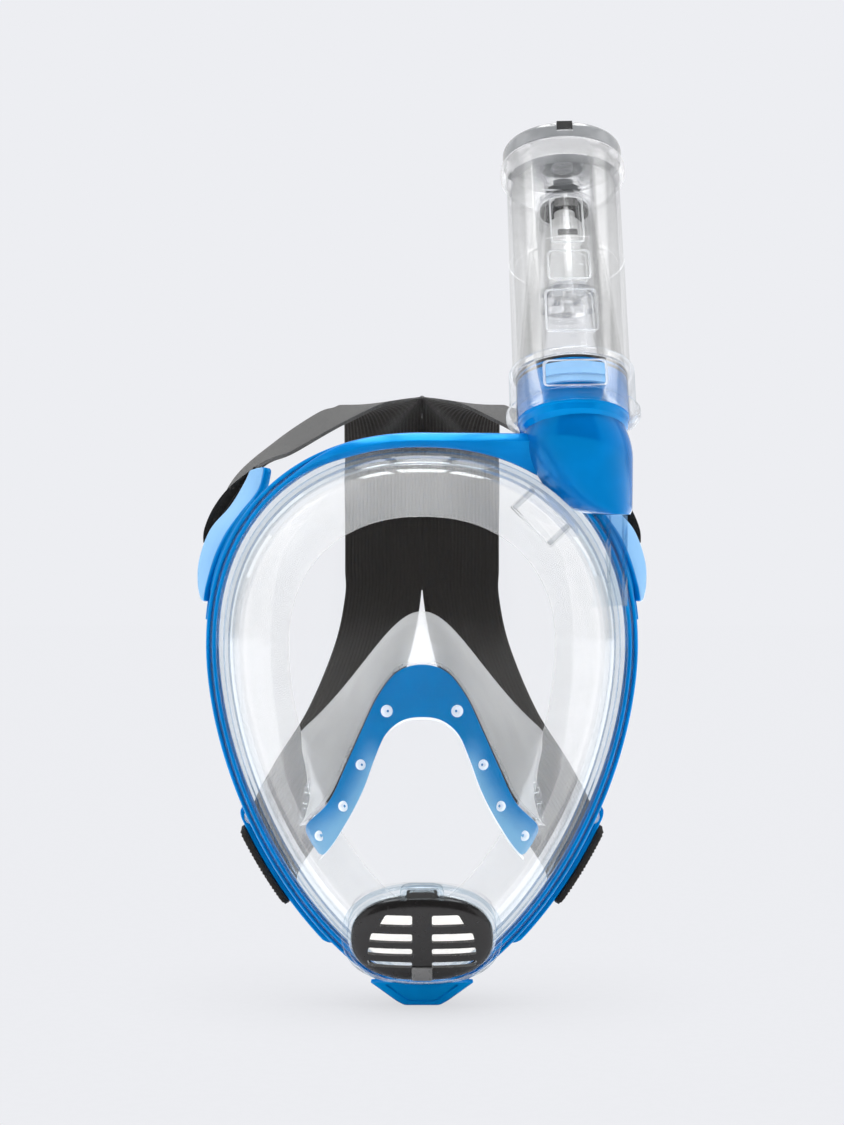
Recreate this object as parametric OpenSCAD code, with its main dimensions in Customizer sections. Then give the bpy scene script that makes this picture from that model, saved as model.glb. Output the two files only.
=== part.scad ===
// Full-face snorkel mask with an offset dry-top snorkel, modelled in millimetres.
// The origin is the middle of the flat underside of the chin block.
// +Z runs up to the forehead, +X to the side that carries the snorkel.
// The wearer looks along -Y, so the face enters from +Y.

/* [Frame outline] */
// Half of the frame width
rim_half_w = 92; // [86:0.5:98]
// Height of the widest line of the frame
rim_mid_z = 145; // [138:1:152]
// Height of the frame above its widest line
rim_top_h = 89.6; // [84:0.2:95]
// How far the sides sweep back behind the centre line
side_sweep = 33; // [26:1:40]

/* [Lens] */
// Forward bulge of the lens from the rim
lens_bulge = 28; // [24:1:32]
// Wall of the lens
lens_wall = 2; // [1.6:0.1:2.6]

/* [Face seal] */
// Width of the soft lip, from the outer rim to the face opening
lip_reach = 34; // [30:1:38]
// Depth of the soft seal behind the rim
lip_depth = 21; // [18:1:26]
// Thickness of the nose pocket sheet
pocket_sheet = 1.4; // [1:0.1:2]

/* [Chin valve] */
// Width of the chin grille
grille_w = 57; // [54:1:60]
// Height of the chin grille
grille_h = 37; // [34:1:38]
// Height of the valve centre above the chin
valve_z = 31; // [30:0.5:32]
// How far the valve looks down
valve_tilt = 18; // [14:1:22]
// Travel of the chin membrane off its seat
membrane_lift = 1.5; // [0.5:0.1:1.8]

/* [Snorkel] */
// Sideways distance of the snorkel from the centre line
snorkel_x = 63.2; // [62:0.2:64]
// Lean of the snorkel towards the back of the head
snorkel_lean = 20; // [17:1:23]
// Outer radius of the clear tube at its foot
tube_r = 24.6; // [24.2:0.1:24.8]
// Length of the clear tube
tube_len = 104.5; // [98:0.5:108]
// Wall of the clear tube
tube_wall = 1.8; // [1.4:0.1:2]
// Travel of the float up to the intake seat
float_lift = 8; // [4:0.5:8]

/* [Straps] */
// Width of the elastic webbing
strap_w = 36; // [32:1:36]
// Thickness of the webbing
strap_t = 2; // [1.6:0.1:2.4]

/* [Hidden] */
$fn = 48;
stations = 60;
rim_low_h = rim_mid_z - 1.2;
valve_y = -26.5;
socket_y = 9;
socket_z = 238.5;
lens_in = 7.8;
clip_gap = 7.6;
tube_foot = 21.5;
tube_top = tube_foot + tube_len;
ridge = [3, 1.25];
blue = [0.0, 0.45, 0.85];
clear = [0.85, 0.9, 0.95, 0.35];
milky = [0.93, 0.94, 0.94, 0.7];
dark = [0.08, 0.08, 0.08];
webbing = [0.13, 0.12, 0.11];

// ---- curves -------------------------------------------------------------------------
function signed_pow(v, p) = sign(v) * pow(abs(v), p);
function unit(v) = v / norm(v);

// Point of the frame outline at angle t, moved in by d.
function rim(t, d) =
    let (c = cos(t), s = sin(t), up = s >= 0)
    [(rim_half_w - d) * signed_pow(c, up ? 0.909 : 1.34),
     rim_mid_z + ((up ? rim_top_h : rim_low_h) - d) * signed_pow(s, up ? 0.909 : 1.111)];

// Sweep-back of the rim at angle t.
function sweep_y(t) = side_sweep * pow(rim(t, 0)[0] / rim_half_w, 2);

// Point at angle t, moved in by d and back by y from the rim line.
function at_rim(t, d, y) =
    let (p = rim(t, d))
    [p[0], sweep_y(t) + y, p[1]];

// Whole loop of the rim.
function rim_loop(d, y) = [for (i = [0:stations - 1]) at_rim(360 * i / stations, d, y)];

// Loop of the lens shell: s is 1 at the rim and 0 at the middle.
function bulge(s) = pow(max(0, 1 - pow(s, 4)), 0.25);
function lens_loop(s, d, y, h) =
    [for (i = [0:stations - 1])
        let (t = 360 * i / stations, p = rim(t, d))
        [p[0] * s, sweep_y(t) * s * s + y - h * bulge(s),
         rim_mid_z + (p[1] - rim_mid_z) * s]];

// Position s of a point between the middle and the rim, by halving.
function beyond(x, z, d, s) =
    let (up = z >= rim_mid_z, h = (up ? rim_top_h : rim_low_h) - d)
    pow(abs(x) / (s * (rim_half_w - d)), up ? 2.2 : 1.4925)
    + pow(abs(z - rim_mid_z) / (s * h), up ? 2.2 : 1.8) > 1;
function shell_s(x, z, d, lo, hi, k) =
    let (m = (lo + hi) / 2)
    k == 0 ? m : beyond(x, z, d, m) ? shell_s(x, z, d, m, hi, k - 1)
    : shell_s(x, z, d, lo, m, k - 1);

// Depth of the inside of the lens over a point.
function inside_y(x, z) =
    let (d = lens_in + lens_wall, s = shell_s(x, z, d, 0.01, 1, 12))
    side_sweep * pow(x / (rim_half_w - d), 2) - 1 - (lens_bulge - lens_wall) * bulge(s);

// Cubic curve over four points.
function cubic(a, b, c, d, u) =
    a * pow(1 - u, 3) + b * 3 * u * pow(1 - u, 2) + c * 3 * u * u * (1 - u) + d * pow(u, 3);

// Smooth curve through a list of points, u from 0 to 1.
function through(p, u) =
    let (n = len(p) - 1, i = min(n - 1, floor(u * n)), f = u * n - i,
         a = p[max(0, i - 1)], b = p[i], c = p[i + 1], d = p[min(n, i + 2)])
    cubic(b, b + (c - a) / 6, c - (d - b) / 6, c, f);

// ---- solids -------------------------------------------------------------------------
function six_volume(p, f) =
    let (v = [for (t = f) p[t[0]] * cross(p[t[1]], p[t[2]])])
    v * [for (i = v) 1];
function mean(l) = [for (i = l) 1] * l / len(l);

// Closed skin over equal loops of points; the last loop joins the first when ring is true.
module skin(loops, ring = false) {
    n = len(loops);
    m = len(loops[0]);
    points = concat([for (l = loops, p = l) p], [mean(loops[0]), mean(loops[n - 1])]);
    sides = [for (i = [0:n - (ring ? 1 : 2)], j = [0:m - 1])
        let (a = i * m + j, b = i * m + (j + 1) % m, c = ((i + 1) % n) * m + (j + 1) % m,
             d = ((i + 1) % n) * m + j)
        each [[a, b, c], [a, c, d]]];
    caps = ring ? [] : [for (j = [0:m - 1])
        each [[(j + 1) % m, j, n * m], [(n - 1) * m + j, (n - 1) * m + (j + 1) % m, n * m + 1]]];
    faces = concat(sides, caps);
    outward = six_volume(points, faces) > 0 ? [for (t = faces) [t[0], t[2], t[1]]] : faces;
    polyhedron(ring ? [for (i = [0:n * m - 1]) points[i]] : points, outward);
}

// Solid that follows the whole rim; the section is a list of inward and backward offsets.
module rim_ring(section) {
    skin([for (q = section) rim_loop(q[0], q[1])], true);
}

// Solid that follows the rim from angle t0 to t1.
module rim_arc(t0, t1, n, section) {
    skin([for (i = [0:n]) [for (q = section) at_rim(t0 + (t1 - t0) * i / n, q[0], q[1])]]);
}

// Flat band along a path; side holds the width direction of each station.
module band(path, side, w, t) {
    n = len(path) - 1;
    skin([for (i = [0:n])
        let (run = unit(path[min(n, i + 1)] - path[max(0, i - 1)]),
             s = unit(side[i]), q = unit(cross(run, s)) * t / 2, e = s * w / 2)
        [path[i] + e + q, path[i] + e - q, path[i] - e - q, path[i] - e + q]]);
}

// Places children on the snorkel axis, z = 0 at the top of the elbow.
module on_snorkel() {
    translate([snorkel_x, socket_y, socket_z])
        rotate([-snorkel_lean, -1.2, 0])
            children();
}

// Places children on the chin valve: x across, y up the face, z out of the mask.
module on_valve() {
    translate([0, valve_y, valve_z])
        rotate([90 + valve_tilt, 0, 0])
            children();
}

module tube(r, wall, z0, z1) {
    translate([0, 0, z0])
        difference() {
            cylinder(r = r, h = z1 - z0);
            translate([0, 0, -1])
                cylinder(r = r - wall, h = z1 - z0 + 2);
        }
}

function oval(w, h) = [for (i = [0:47]) [w / 2 * signed_pow(cos(7.5 * i), 0.85),
                                         h / 2 * signed_pow(sin(7.5 * i), 0.85)]];

module oval_plate(w, h, z0, z1) {
    translate([0, 0, z0])
        linear_extrude(z1 - z0)
            polygon(oval(w, h));
}

module mirrored(left) {
    if (left) mirror([1, 0, 0]) children();
    else children();
}

// ---- visor --------------------------------------------------------------------------
lens_steps = [1, 0.985, 0.95, 0.9, 0.83, 0.74, 0.62, 0.45, 0.2];

module lens() {
    outer = [for (i = [len(lens_steps) - 1:-1:0])
        lens_loop(lens_steps[i], lens_in, -2.1, lens_bulge)];
    inner = [for (s = lens_steps)
        lens_loop(s, lens_in + lens_wall, -1, lens_bulge - lens_wall)];
    color(clear)
        difference() {
            skin(concat(outer, [rim_loop(2.9, -2.1), rim_loop(2.9, -1)], inner));
            on_valve()
                oval_plate(grille_w + 3, grille_h + 3, -30, 30);
            port();
        }
}

// Slice of the chin block with a flat underside, y0 to y1.
module chin_block(y0, y1, outline) {
    translate([0, y1, 0])
        rotate([90, 0, 0])
            linear_extrude(y1 - y0)
                polygon(concat(outline, [for (i = [len(outline) - 1:-1:0]) [-outline[i][0], outline[i][1]]]));
}

// Level bar along the top of the frame, out to the elbow.
module top_arm() {
    translate([0, -3.3, 0])
        rotate([90, 0, 0])
            linear_extrude(3.6)
                polygon([[2, 234.4], [28, 234], [42.6, 233.4], [42.6, 217], [30, 223.6], [16, 226.6],
                         [2, 227.4]]);
}

module front_frame() {
    color(blue)
        union() {
            top_arm();
            rim_ring([[2.7, -2.2], [2.7, -4.2], [3.2, -5], [4, -5], [4.6, -4.3], [4.6, -2.2]]);
            chin_block(-10.4, -3.3, [[7.4, 0], [11, 2], [21.5, 9.1]]);
        }
}

module rear_frame() {
    color(blue)
        union() {
            chin_block(-3.1, 6.5, [[7.4, 0], [10, 1.4], [10.5, 2.6]]);
            rim_ring([[1.8, 1], [1.8, -2.6], [1.4, -3.1], [0.6, -3.1], [0, -2.4], [0, 5.4],
                      [1, 6.5], [4.4, 6.5], [5.2, 5.6], [5.2, 1]]);
        }
}

module face_skirt() {
    r = lip_reach;
    k = lip_depth;
    color(milky)
        rim_ring([[2, -2.9], [2.5, -2.9], [2.55, -0.9], [9.2, -0.9], [11, 5], [12.4, k - 7],
                  [16, k - 1.6], [24, k - 1], [r, k - 5], [r + 0.2, k - 3.6], [24.5, k + 0.8],
                  [15, k + 0.3], [10.8, k - 6], [9.4, 6], [8, 0.9], [2, 0.9]]);
}

// ---- nose pocket --------------------------------------------------------------------
// Edges of the arched pocket frame, right half, as x and z.
arch_outer = [[0, 139.9], [10, 136.8], [18, 126.7], [24.5, 113], [30.9, 98.6], [37.1, 85.1],
              [43.4, 77.4], [48.6, 72]];
arch_inner = [[0, 118.8], [8, 117.4], [14.6, 111.8], [19.1, 101.9], [23.6, 89.6], [29.2, 78.3],
              [36, 67.4], [41.5, 60.6]];
function arch_out(u) = through(arch_outer, u);
function arch_in(u) = through(arch_inner, u);

// Face-side edge of the pocket: over the nose, then down beside the mouth.
function pocket_back(u) =
    let (c = cubic([0, 10, 160], [14, 10, 160], [26, 26, 130],
                   at_rim(-24, lip_reach + 2.6, lip_depth - 8), min(1, u / 0.6)),
         t = -24 - 20 * (u - 0.6) / 0.4)
    u < 0.6 ? c : at_rim(t, lip_reach + 2.6, lip_depth - 8);

function pocket_point(u, v, off) =
    let (f = arch_out(abs(u)), b = pocket_back(abs(u)),
         fx = f[0] + 1.4 * abs(u), front = [fx, inside_y(fx, f[1]) + 2.6, f[1] + 1.2],
         p = front * (1 - v) + b * v,
         q = unit([p[0] + 0.01, 0, p[2] - 80]),
         full = p + q * (off + 2.5 * sin(180 * v)))
    [full[0] * sign(u + 0.0001), full[1], full[2]];

module nose_pocket() {
    n = 16;
    color(milky)
        difference() {
            skin([for (i = [-n:n])
                [for (v = [0, 0.25, 0.5, 0.75, 1]) pocket_point(i / n, v, pocket_sheet / 2),
                 for (v = [1, 0.75, 0.5, 0.25, 0]) pocket_point(i / n, v, -pocket_sheet / 2)]]);
            for (left = [false, true])
                mirrored(left) on_inhale() cylinder(r = 8.2, h = 16, center = true);
        }
}

module pocket_frame() {
    n = 14;
    color(blue)
        skin([for (i = [-n:n])
            let (u = abs(i) / n, s = i < 0 ? -1 : 1, a = arch_out(u), b = arch_in(u))
            [[s * a[0], inside_y(a[0], a[1]) + 1, a[1]], [s * a[0], inside_y(a[0], a[1]) + 2.8, a[1]],
             [s * b[0], inside_y(b[0], b[1]) + 2.8, b[1]], [s * b[0], inside_y(b[0], b[1]) + 1, b[1]]]]);
}

module stud(x, z, r) {
    translate([x, inside_y(x, z), z])
        rotate([-90, 0, 0])
            difference() {
                union() {
                    cylinder(r = r * 0.6, h = 3.6, $fn = 24);
                    translate([0, 0, 2.6])
                        cylinder(r = r, h = 1.6, $fn = 24);
                }
                translate([0, 0, 3.4])
                    cylinder(r = r * 0.3, h = 2, $fn = 24);
            }
}

module pocket_studs() {
    color(clear)
        for (s = [-1, 1]) {
            stud(s * 14.1, 121.2, 2.5);
            stud(s * 24.6, 99.4, 2.2);
            stud(s * 31.7, 82.4, 2.2);
            stud(s * 41.5, 69.8, 2.2);
        }
}

// Side valves of the pocket: z points from the visor space into the pocket.
module on_inhale() {
    translate(pocket_point(0.86, 0.5, 0))
        rotate([0, -100, 0])
            rotate([8, 0, 0])
                children();
}

module inhale_seat(left) {
    color(clear)
        mirrored(left)
            on_inhale()
                difference() {
                    union() {
                        cylinder(r = 8, h = 3, center = true);
                        translate([0, 0, -3.4])
                            cylinder(r = 9.6, h = 1.9);
                    }
                    for (a = [0:60:300])
                        rotate([0, 0, a])
                            translate([4.6, 0, -5])
                                cylinder(r = 1.7, h = 9, $fn = 24);
                }
}

module inhale_valve(left) {
    color(milky)
        mirrored(left)
            on_inhale()
                translate([0, 0, 1.6])
                    cylinder(r = 7.4, h = 0.8);
}

// ---- chin valve ---------------------------------------------------------------------
module purge_housing() {
    color(clear)
        on_valve()
            difference() {
                union() {
                    oval_plate(grille_w + 2.6, grille_h + 2.6, -7, 3.6);
                    oval_plate(grille_w + 7.5, grille_h + 6.5, -1.2, 1);
                    translate([-8.4, grille_h / 2 - 0.5, -1])
                        cube([16.8, 4.8, 4.6]);
                }
                oval_plate(grille_w + 0.3, grille_h + 0.3, 0, 10);
                oval_plate(grille_w - 7, grille_h - 7, -10, 10);
                translate([-6.6, grille_h / 2 - 3, 0])
                    cube([13.2, 5.6, 9]);
                hinge_rod(1.07, 17);
            }
}

// Hinge line of the chin cover, just above the lower wall of its housing.
module hinge_rod(r, length) {
    translate([-length / 2, -grille_h / 2 - 0.1, 3.7])
        rotate([0, 90, 0])
            cylinder(r = r, h = length, $fn = 32);
}

module purge_seat() {
    color(dark)
        on_valve()
            difference() {
                oval_plate(grille_w - 7.4, grille_h - 7.4, -6.6, -4.6);
                for (a = [0:60:300])
                    rotate([0, 0, a])
                        translate([7.6, 0, -8])
                            cylinder(r = 2.9, h = 6, $fn = 24);
                translate([0, 0, -8])
                    cylinder(r = 1.5, h = 6, $fn = 24);
            }
}

module purge_membrane() {
    color(milky)
        on_valve() {
            oval_plate(grille_w - 9, grille_h - 9, -4.5, -3.7);
            translate([0, 0, -8])
                cylinder(r = 1.44, h = 4, $fn = 24);
        }
}

module purge_cover() {
    w = grille_w;
    h = grille_h;
    levels = [[0.98, 0.2], [1, 2.6], [0.94, 4.2], [0.8, 5.6], [0.55, 6.7], [0.25, 7.2]];
    outer = [for (i = [len(levels) - 1:-1:0])
        [for (p = oval(w * levels[i][0], h * levels[i][0])) [p[0], p[1], levels[i][1]]]];
    inner = [for (q = levels)
        [for (p = oval((w - 4) * q[0], (h - 4) * q[0])) [p[0], p[1], max(0.2, q[1] - 1.8)]]];
    color(dark)
        on_valve() {
            difference() {
                skin(concat(outer, inner));
                for (s = [-1, 1]) {
                    for (row = [[6.6, 3.4, 4, 17], [-0.6, 3.6, 4, 21.5], [-8.6, 5.4, 4, 21.5],
                                [-14.6, 2.6, 6.5, 16]])
                        translate([s > 0 ? row[2] : -row[3], row[0], 0.5])
                            cube([row[3] - row[2], row[1], 12]);
                }
            }
            translate([-6.3, h / 2 - 1.8, 0.3])
                cube([12.6, 4.1, 2.9]);
            hinge_rod(1, 16);
        }
}

// ---- snorkel ------------------------------------------------------------------------
// Air port from the elbow through the lens.
module port() {
    translate([56, 20, 204])
        rotate([90, 0, 0])
            cylinder(r = 6, h = 60);
}

// Everything behind the front of the frame and inside its outline.
module mask_body() {
    skin(concat(
        [for (i = [len(lens_steps) - 1:-1:0])
            lens_loop(lens_steps[i], lens_in - 0.15, -2.2, lens_bulge + 0.2)],
        [rim_loop(7.6, -5.4), rim_loop(-0.2, -5.4), rim_loop(-0.2, 6.6), rim_loop(-7, 7),
         rim_loop(-7, 70), rim_loop(60, 70)]));
}

// Elbow below the spigot: round at the top, rounded off towards the middle of the mask below.
module elbow_shape() {
    n = 36;
    lean = tube_r * sin(snorkel_lean);
    reach = tube_r * cos(snorkel_lean);
    right = snorkel_x + tube_r;
    skin([for (k = [0:9])
        let (f = k / 9, g = 1 - f, z = 201 + (socket_z - 201) * f,
             left = snorkel_x - tube_r + 1 + 23 * pow(g, 2.05) + 8 * pow(g, 20),
             front = socket_y - reach + 11 * pow(g, 2.2), back = socket_y + reach - 6 * g,
             k1 = 1 - 0.07 * pow(max(0, (f - 0.68) / 0.32), 2))
        [for (i = [0:n - 1])
            let (c = k1 * cos(360 * i / n), v = k1 * sin(360 * i / n))
            [(right + left) / 2 + (right - left) / 2 * c,
             (front + back) / 2 + (back - front) / 2 * v, z - f * lean * v]]]);
}

module snorkel_socket() {
    color(blue)
        difference() {
            union() {
                elbow_shape();
                on_snorkel()
                    translate([0, 0, -4])
                        cylinder(r = 22.6, h = 24.8);
            }
            on_snorkel() {
                translate([0, 0, -12])
                    cylinder(r = 19.4, h = 60);
                tube(30, 9, 17.3, 19.9);
                tube(34, 11.3, 0, 9);
            }
            port();
            mask_body();
        }
}

module socket_seal() {
    color(dark)
        on_snorkel()
            translate([0, 0, 18.6])
                rotate_extrude()
                    translate([22.3, 0])
                        circle(r = 1.2, $fn = 24);
}

module snorkel_collar() {
    color(clear)
        on_snorkel()
            difference() {
                union() {
                    translate([0, 0, 1.2])
                        cylinder(r = 26.4, h = 23.3);
                    translate([0, 0, 2])
                        cylinder(r = 28.1, h = 3.4);
                }
                translate([0, 0, -1])
                    cylinder(r = 23.6, h = 40);
                translate([0, 0, tube_foot - 0.1])
                    cylinder(r = tube_r + 0.1, h = 40);
                translate([-12.4, -40, 8])
                    cube([24.8, 30, 9.2]);
            }
}

module release_latch() {
    color(blue)
        on_snorkel()
            intersection() {
                union() {
                    tube(26.8, 1.8, 8.3, 16.9);
                    tube(27.4, 1.6, 11.4, 13.8);
                }
                translate([-12.1, -40, 0])
                    cube([24.2, 30, 30]);
            }
}

module snorkel_tube() {
    color(clear)
        on_snorkel()
            difference() {
                union() {
                    translate([0, 0, tube_foot])
                        cylinder(r1 = tube_r, r2 = tube_r - 0.4, h = tube_len);
                    translate([0, 0, tube_top - 12.2])
                        cylinder(r = tube_r + 2.2, h = 8);
                }
                translate([0, 0, tube_foot - 1])
                    cylinder(r = tube_r - 0.4 - tube_wall, h = tube_len + 2);
                for (a = [30:40:330])
                    rotate([0, 0, a - 90])
                        translate([15, -4, tube_top - 3.2])
                            cube([20, 8, 5]);
            }
}

module inner_duct() {
    color(clear)
        on_snorkel()
            difference() {
                union() {
                    translate([0, 0, 26])
                        cylinder(r1 = 22.2, r2 = 13, h = 77);
                    translate([0, 0, 23])
                        cylinder(r = 22.2, h = 3);
                }
                translate([0, 0, 22])
                    cylinder(r = 20.8, h = 4.1);
                translate([0, 0, 26])
                    cylinder(r1 = 20.8, r2 = 11.8, h = 78);
            }
}

module float_guide() {
    color(clear)
        on_snorkel() {
            difference() {
                translate([0, 0, 54])
                    cylinder(r1 = 17.2, r2 = 16.7, h = 3);
                for (a = [0:60:300])
                    rotate([0, 0, a])
                        translate([9.5, 0, 50])
                            cylinder(r = 3.6, h = 10, $fn = 24);
            }
            translate([0, 0, 56])
                cylinder(r = 2.2, h = 44, $fn = 24);
        }
}

module float_body() {
    color([0.9, 0.92, 0.94, 0.6])
        on_snorkel()
            difference() {
                union() {
                    translate([0, 0, 62])
                        cylinder(r = 9.6, h = 26);
                    translate([0, 0, 88])
                        cylinder(r1 = 9.6, r2 = 6.5, h = 6);
                    translate([0, 0, 94])
                        cylinder(r = 4.5, h = 8.6, $fn = 24);
                }
                translate([0, 0, 60])
                    cylinder(r = 2.4, h = 41, $fn = 24);
            }
}

module float_seal() {
    color(dark)
        on_snorkel()
            difference() {
                translate([0, 0, 98.4])
                    cylinder(r = 10.4, h = 2.6);
                translate([0, 0, 90])
                    cylinder(r = 4.55, h = 20, $fn = 24);
            }
}

module intake_seat() {
    z = 101 + float_lift + 0.1;
    color(clear)
        on_snorkel()
            difference() {
                translate([0, 0, z])
                    cylinder(r = tube_r - 0.5 - tube_wall, h = 2.2);
                translate([0, 0, z - 1])
                    cylinder(r = 8, h = 5);
            }
}

module tube_cap() {
    z = tube_top - 3.8;
    r = tube_r + 1;
    color([0.6, 0.6, 0.62, 0.7])
        on_snorkel()
            difference() {
                union() {
                    translate([0, 0, z])
                        cylinder(r = r, h = 6);
                    translate([0, 0, z + 6])
                        cylinder(r1 = r, r2 = r - 3, h = 1.8);
                    translate([0, 0, z + 7.8])
                        cylinder(r1 = r - 3, r2 = r - 12, h = 1.4);
                }
                translate([0, 0, z - 1])
                    cylinder(r = r - 0.9, h = 4.9);
                translate([-3.4, -r - 5, z + 2.6])
                    cube([6.8, 7.6, 9]);
            }
}

module cap_catch() {
    r = tube_r + 1;
    color(dark)
        on_snorkel()
            translate([-3.3, -r + 0.1, tube_top + 0.1])
                cube([6.6, 2.4, 3.2]);
}

// Clear rectangular passage below the port, inside the visor.
module air_inlet() {
    color(clear)
        translate([49.5, 6.6, 200])
            rotate([0, 46, 0])
                difference() {
                    cube([24, 8, 12.7], center = true);
                    cube([21.6, 10, 10.3], center = true);
                }
}

// Channel from the underside of the elbow down onto the side of the lens.
module exhale_duct() {
    color(clear)
        difference() {
            translate([77.2, 4, 163])
                cube([8, 15, 37.6]);
            translate([78.4, 5.2, 162])
                cube([5.6, 12.6, 40]);
            mask_body();
        }
}

// ---- clips and straps ---------------------------------------------------------------
// Wing that leaves the rim upwards and carries the webbing: its inner and outer edges.
wing_in = [[91.4, 38, 164], [90, 38.5, 171.4], [86.2, 38.5, 183], [81.6, 38, 192], [75.6, 37, 200.6],
           [67.4, 36, 210.8], [64.6, 36, 222]];
wing_out = [[94.5, 43, 164.6], [96.2, 45, 171.4], [95.9, 46, 181.8], [91.2, 46, 194.9],
            [82.2, 45, 205.3], [76, 44, 215.6], [73.6, 43, 221]];

// Strip between two edge curves; the last argument is its thickness.
module strip(edge_a, edge_b, n, t) {
    skin([for (i = [0:n])
        let (u = i / n, a = through(edge_a, u), b = through(edge_b, u),
             run = through(edge_a + edge_b, min(1, u + 0.02)) - through(edge_a + edge_b, max(0, u - 0.02)),
             q = unit(cross(run, b - a)) * t / 2)
        [a + q, a - q, b - q, b + q]]);
}

module upper_clip(left) {
    color(blue)
        mirrored(left) {
            strip(wing_in, wing_out, 18, 2.4);
            rim_arc(42, 6, 12, [[-1.4, 6.8], [4.4, 6.8], [4.4, 9.4], [-1.4, 9.4]]);
        }
}

// Quick-release clip: the pin is at its upper end.
pin_t = -32.5;
module lower_clip(left) {
    color(blue)
        mirrored(left)
            difference() {
                union() {
                    rim_arc(-30.2, -59.5, 11, [[-3.6, 7.3], [2.4, 7.3], [1.8, 11.4], [-3.6, 11.4]]);
                    translate(at_rim(pin_t, 0.6, 9.4))
                        rotate([-90, 0, 0])
                            cylinder(r = 4.6, h = 2.6);
                }
                translate(at_rim(pin_t, 0.6, 0))
                    rotate([-90, 0, 0]) {
                        cylinder(r = 2.06, h = 30, $fn = 32);
                        translate([0, 0, 12])
                            cylinder(r = 3.4, h = 8, $fn = 32);
                    }
            }
}

module clip_pins() {
    color(clear)
        for (left = [false, true])
            mirrored(left)
                translate(at_rim(pin_t, 0.6, 3.6))
                    rotate([-90, 0, 0]) {
                        cylinder(r = 2, h = 8.6, $fn = 32);
                        translate([0, 0, 8.5])
                            cylinder(r = 3, h = 1.2, $fn = 32);
                    }
}

// Edges of one half of the webbing, from the upper clip over the crown and down to the lower
// clip: the crown side, which becomes the centre line at the back, and the outer side.
strap_in = [[72, 47, 222], [66, 60, 226], [57.5, 75, 230], [43, 98, 240], [33.5, 110, 246],
            [18.8, 122, 253.8], [7, 128, 256.9], [0.9, 133, 258.2], [0.9, 151, 259.6],
            [0.9, 161, 249], [0.9, 163, 230], [0.9, 163, 200], [0.9, 163, 168], [6.7, 152, 133.5],
            [21.7, 120, 96], [41, 86, 65.3], [54, 58, 46.5], [54, 38, 42]];
strap_out = [[93, 52, 190], [84, 78, 217], [66, 103, 236], [49, 131, 250.5], [42, 146, 254.5],
             [38, 156, 255], [37, 161, 247], [36.9, 163, 232], [36.9, 163.5, 216],
             [36.9, 163.5, 203], [36.9, 163, 190], [36.9, 163, 177], [36.9, 162.5, 165],
             [41.3, 152, 142.5], [52.3, 120, 114], [65, 86, 92.7], [72.5, 60, 77.5], [72, 46, 70]];
strap_far = strap_in + (strap_out - strap_in) * strap_w / 36;

module strap(left) {
    color(webbing)
        mirrored(left)
            strip(strap_in, strap_far, 56, strap_t);
}

module strap_seam() {
    color(dark)
        band([for (i = [0:16])
                 let (u = 0.415 + 0.29 * i / 16, p = through(strap_in, u),
                      run = through(strap_in, u + 0.02) - through(strap_in, u - 0.02),
                      out = unit([0, -run[2], run[1]]))
                 [0, p[1], p[2]] + out * (strap_t / 2 + 1.2)],
             [for (i = [0:16]) [1, 0, 0]], 7, 1.2);
}

module strap_loop(left) {
    color(webbing)
        mirrored(left)
            rim_arc(-34, -48.6, 8, [[-3.7, 11.6], [-3.7, 6.2], [-6, 6.2], [-6, 16], [2, 20], [2, 18],
                                  [-3.7, 14]]);
}

lens();
front_frame();
rear_frame();
face_skirt();
nose_pocket();
pocket_frame();
pocket_studs();
inhale_seat(true);  // inhale_seat_left
inhale_seat(false);  // inhale_seat_right
inhale_valve(true);  // inhale_valve_left
inhale_valve(false);  // inhale_valve_right
purge_housing();
purge_seat();
purge_membrane();
purge_cover();
snorkel_socket();
socket_seal();
release_latch();
air_inlet();
exhale_duct();
snorkel_collar();
snorkel_tube();
inner_duct();
float_guide();
float_body();
float_seal();
intake_seat();
tube_cap();
cap_catch();
upper_clip(true);  // upper_clip_left
upper_clip(false);  // upper_clip_right
lower_clip(true);  // lower_clip_left
lower_clip(false);  // lower_clip_right
clip_pins();
strap(true);  // strap_left
strap(false);  // strap_right
strap_seam();
strap_loop(true);  // strap_loop_left
strap_loop(false);  // strap_loop_right
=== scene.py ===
import math

import bmesh
import bpy
import numpy as np
from mathutils import Matrix


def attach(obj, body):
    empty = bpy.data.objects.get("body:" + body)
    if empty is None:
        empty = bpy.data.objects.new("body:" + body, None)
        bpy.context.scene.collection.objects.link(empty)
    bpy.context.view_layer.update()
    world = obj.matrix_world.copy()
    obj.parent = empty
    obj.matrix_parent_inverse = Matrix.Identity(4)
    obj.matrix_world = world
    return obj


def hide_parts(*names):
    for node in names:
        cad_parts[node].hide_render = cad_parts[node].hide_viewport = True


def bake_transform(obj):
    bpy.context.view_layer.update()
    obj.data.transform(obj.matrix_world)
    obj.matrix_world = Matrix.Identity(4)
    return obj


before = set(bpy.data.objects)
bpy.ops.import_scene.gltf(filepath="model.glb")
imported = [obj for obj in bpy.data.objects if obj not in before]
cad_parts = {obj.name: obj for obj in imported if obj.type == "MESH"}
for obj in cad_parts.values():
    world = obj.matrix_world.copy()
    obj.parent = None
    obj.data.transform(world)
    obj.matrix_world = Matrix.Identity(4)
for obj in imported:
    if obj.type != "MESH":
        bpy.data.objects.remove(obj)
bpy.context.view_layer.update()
PALE = (0.847, 0.855, 0.888, 1)

# The mask's outline from the front: half width, widest level, rise above it and drop below
# it. Its sides sweep back by SWEEP. All lengths are in millimetres.
HALF_WIDE, MID_Z, RISE, DROP, SWEEP = 92, 145, 89.6, 143.8, 33
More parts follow.
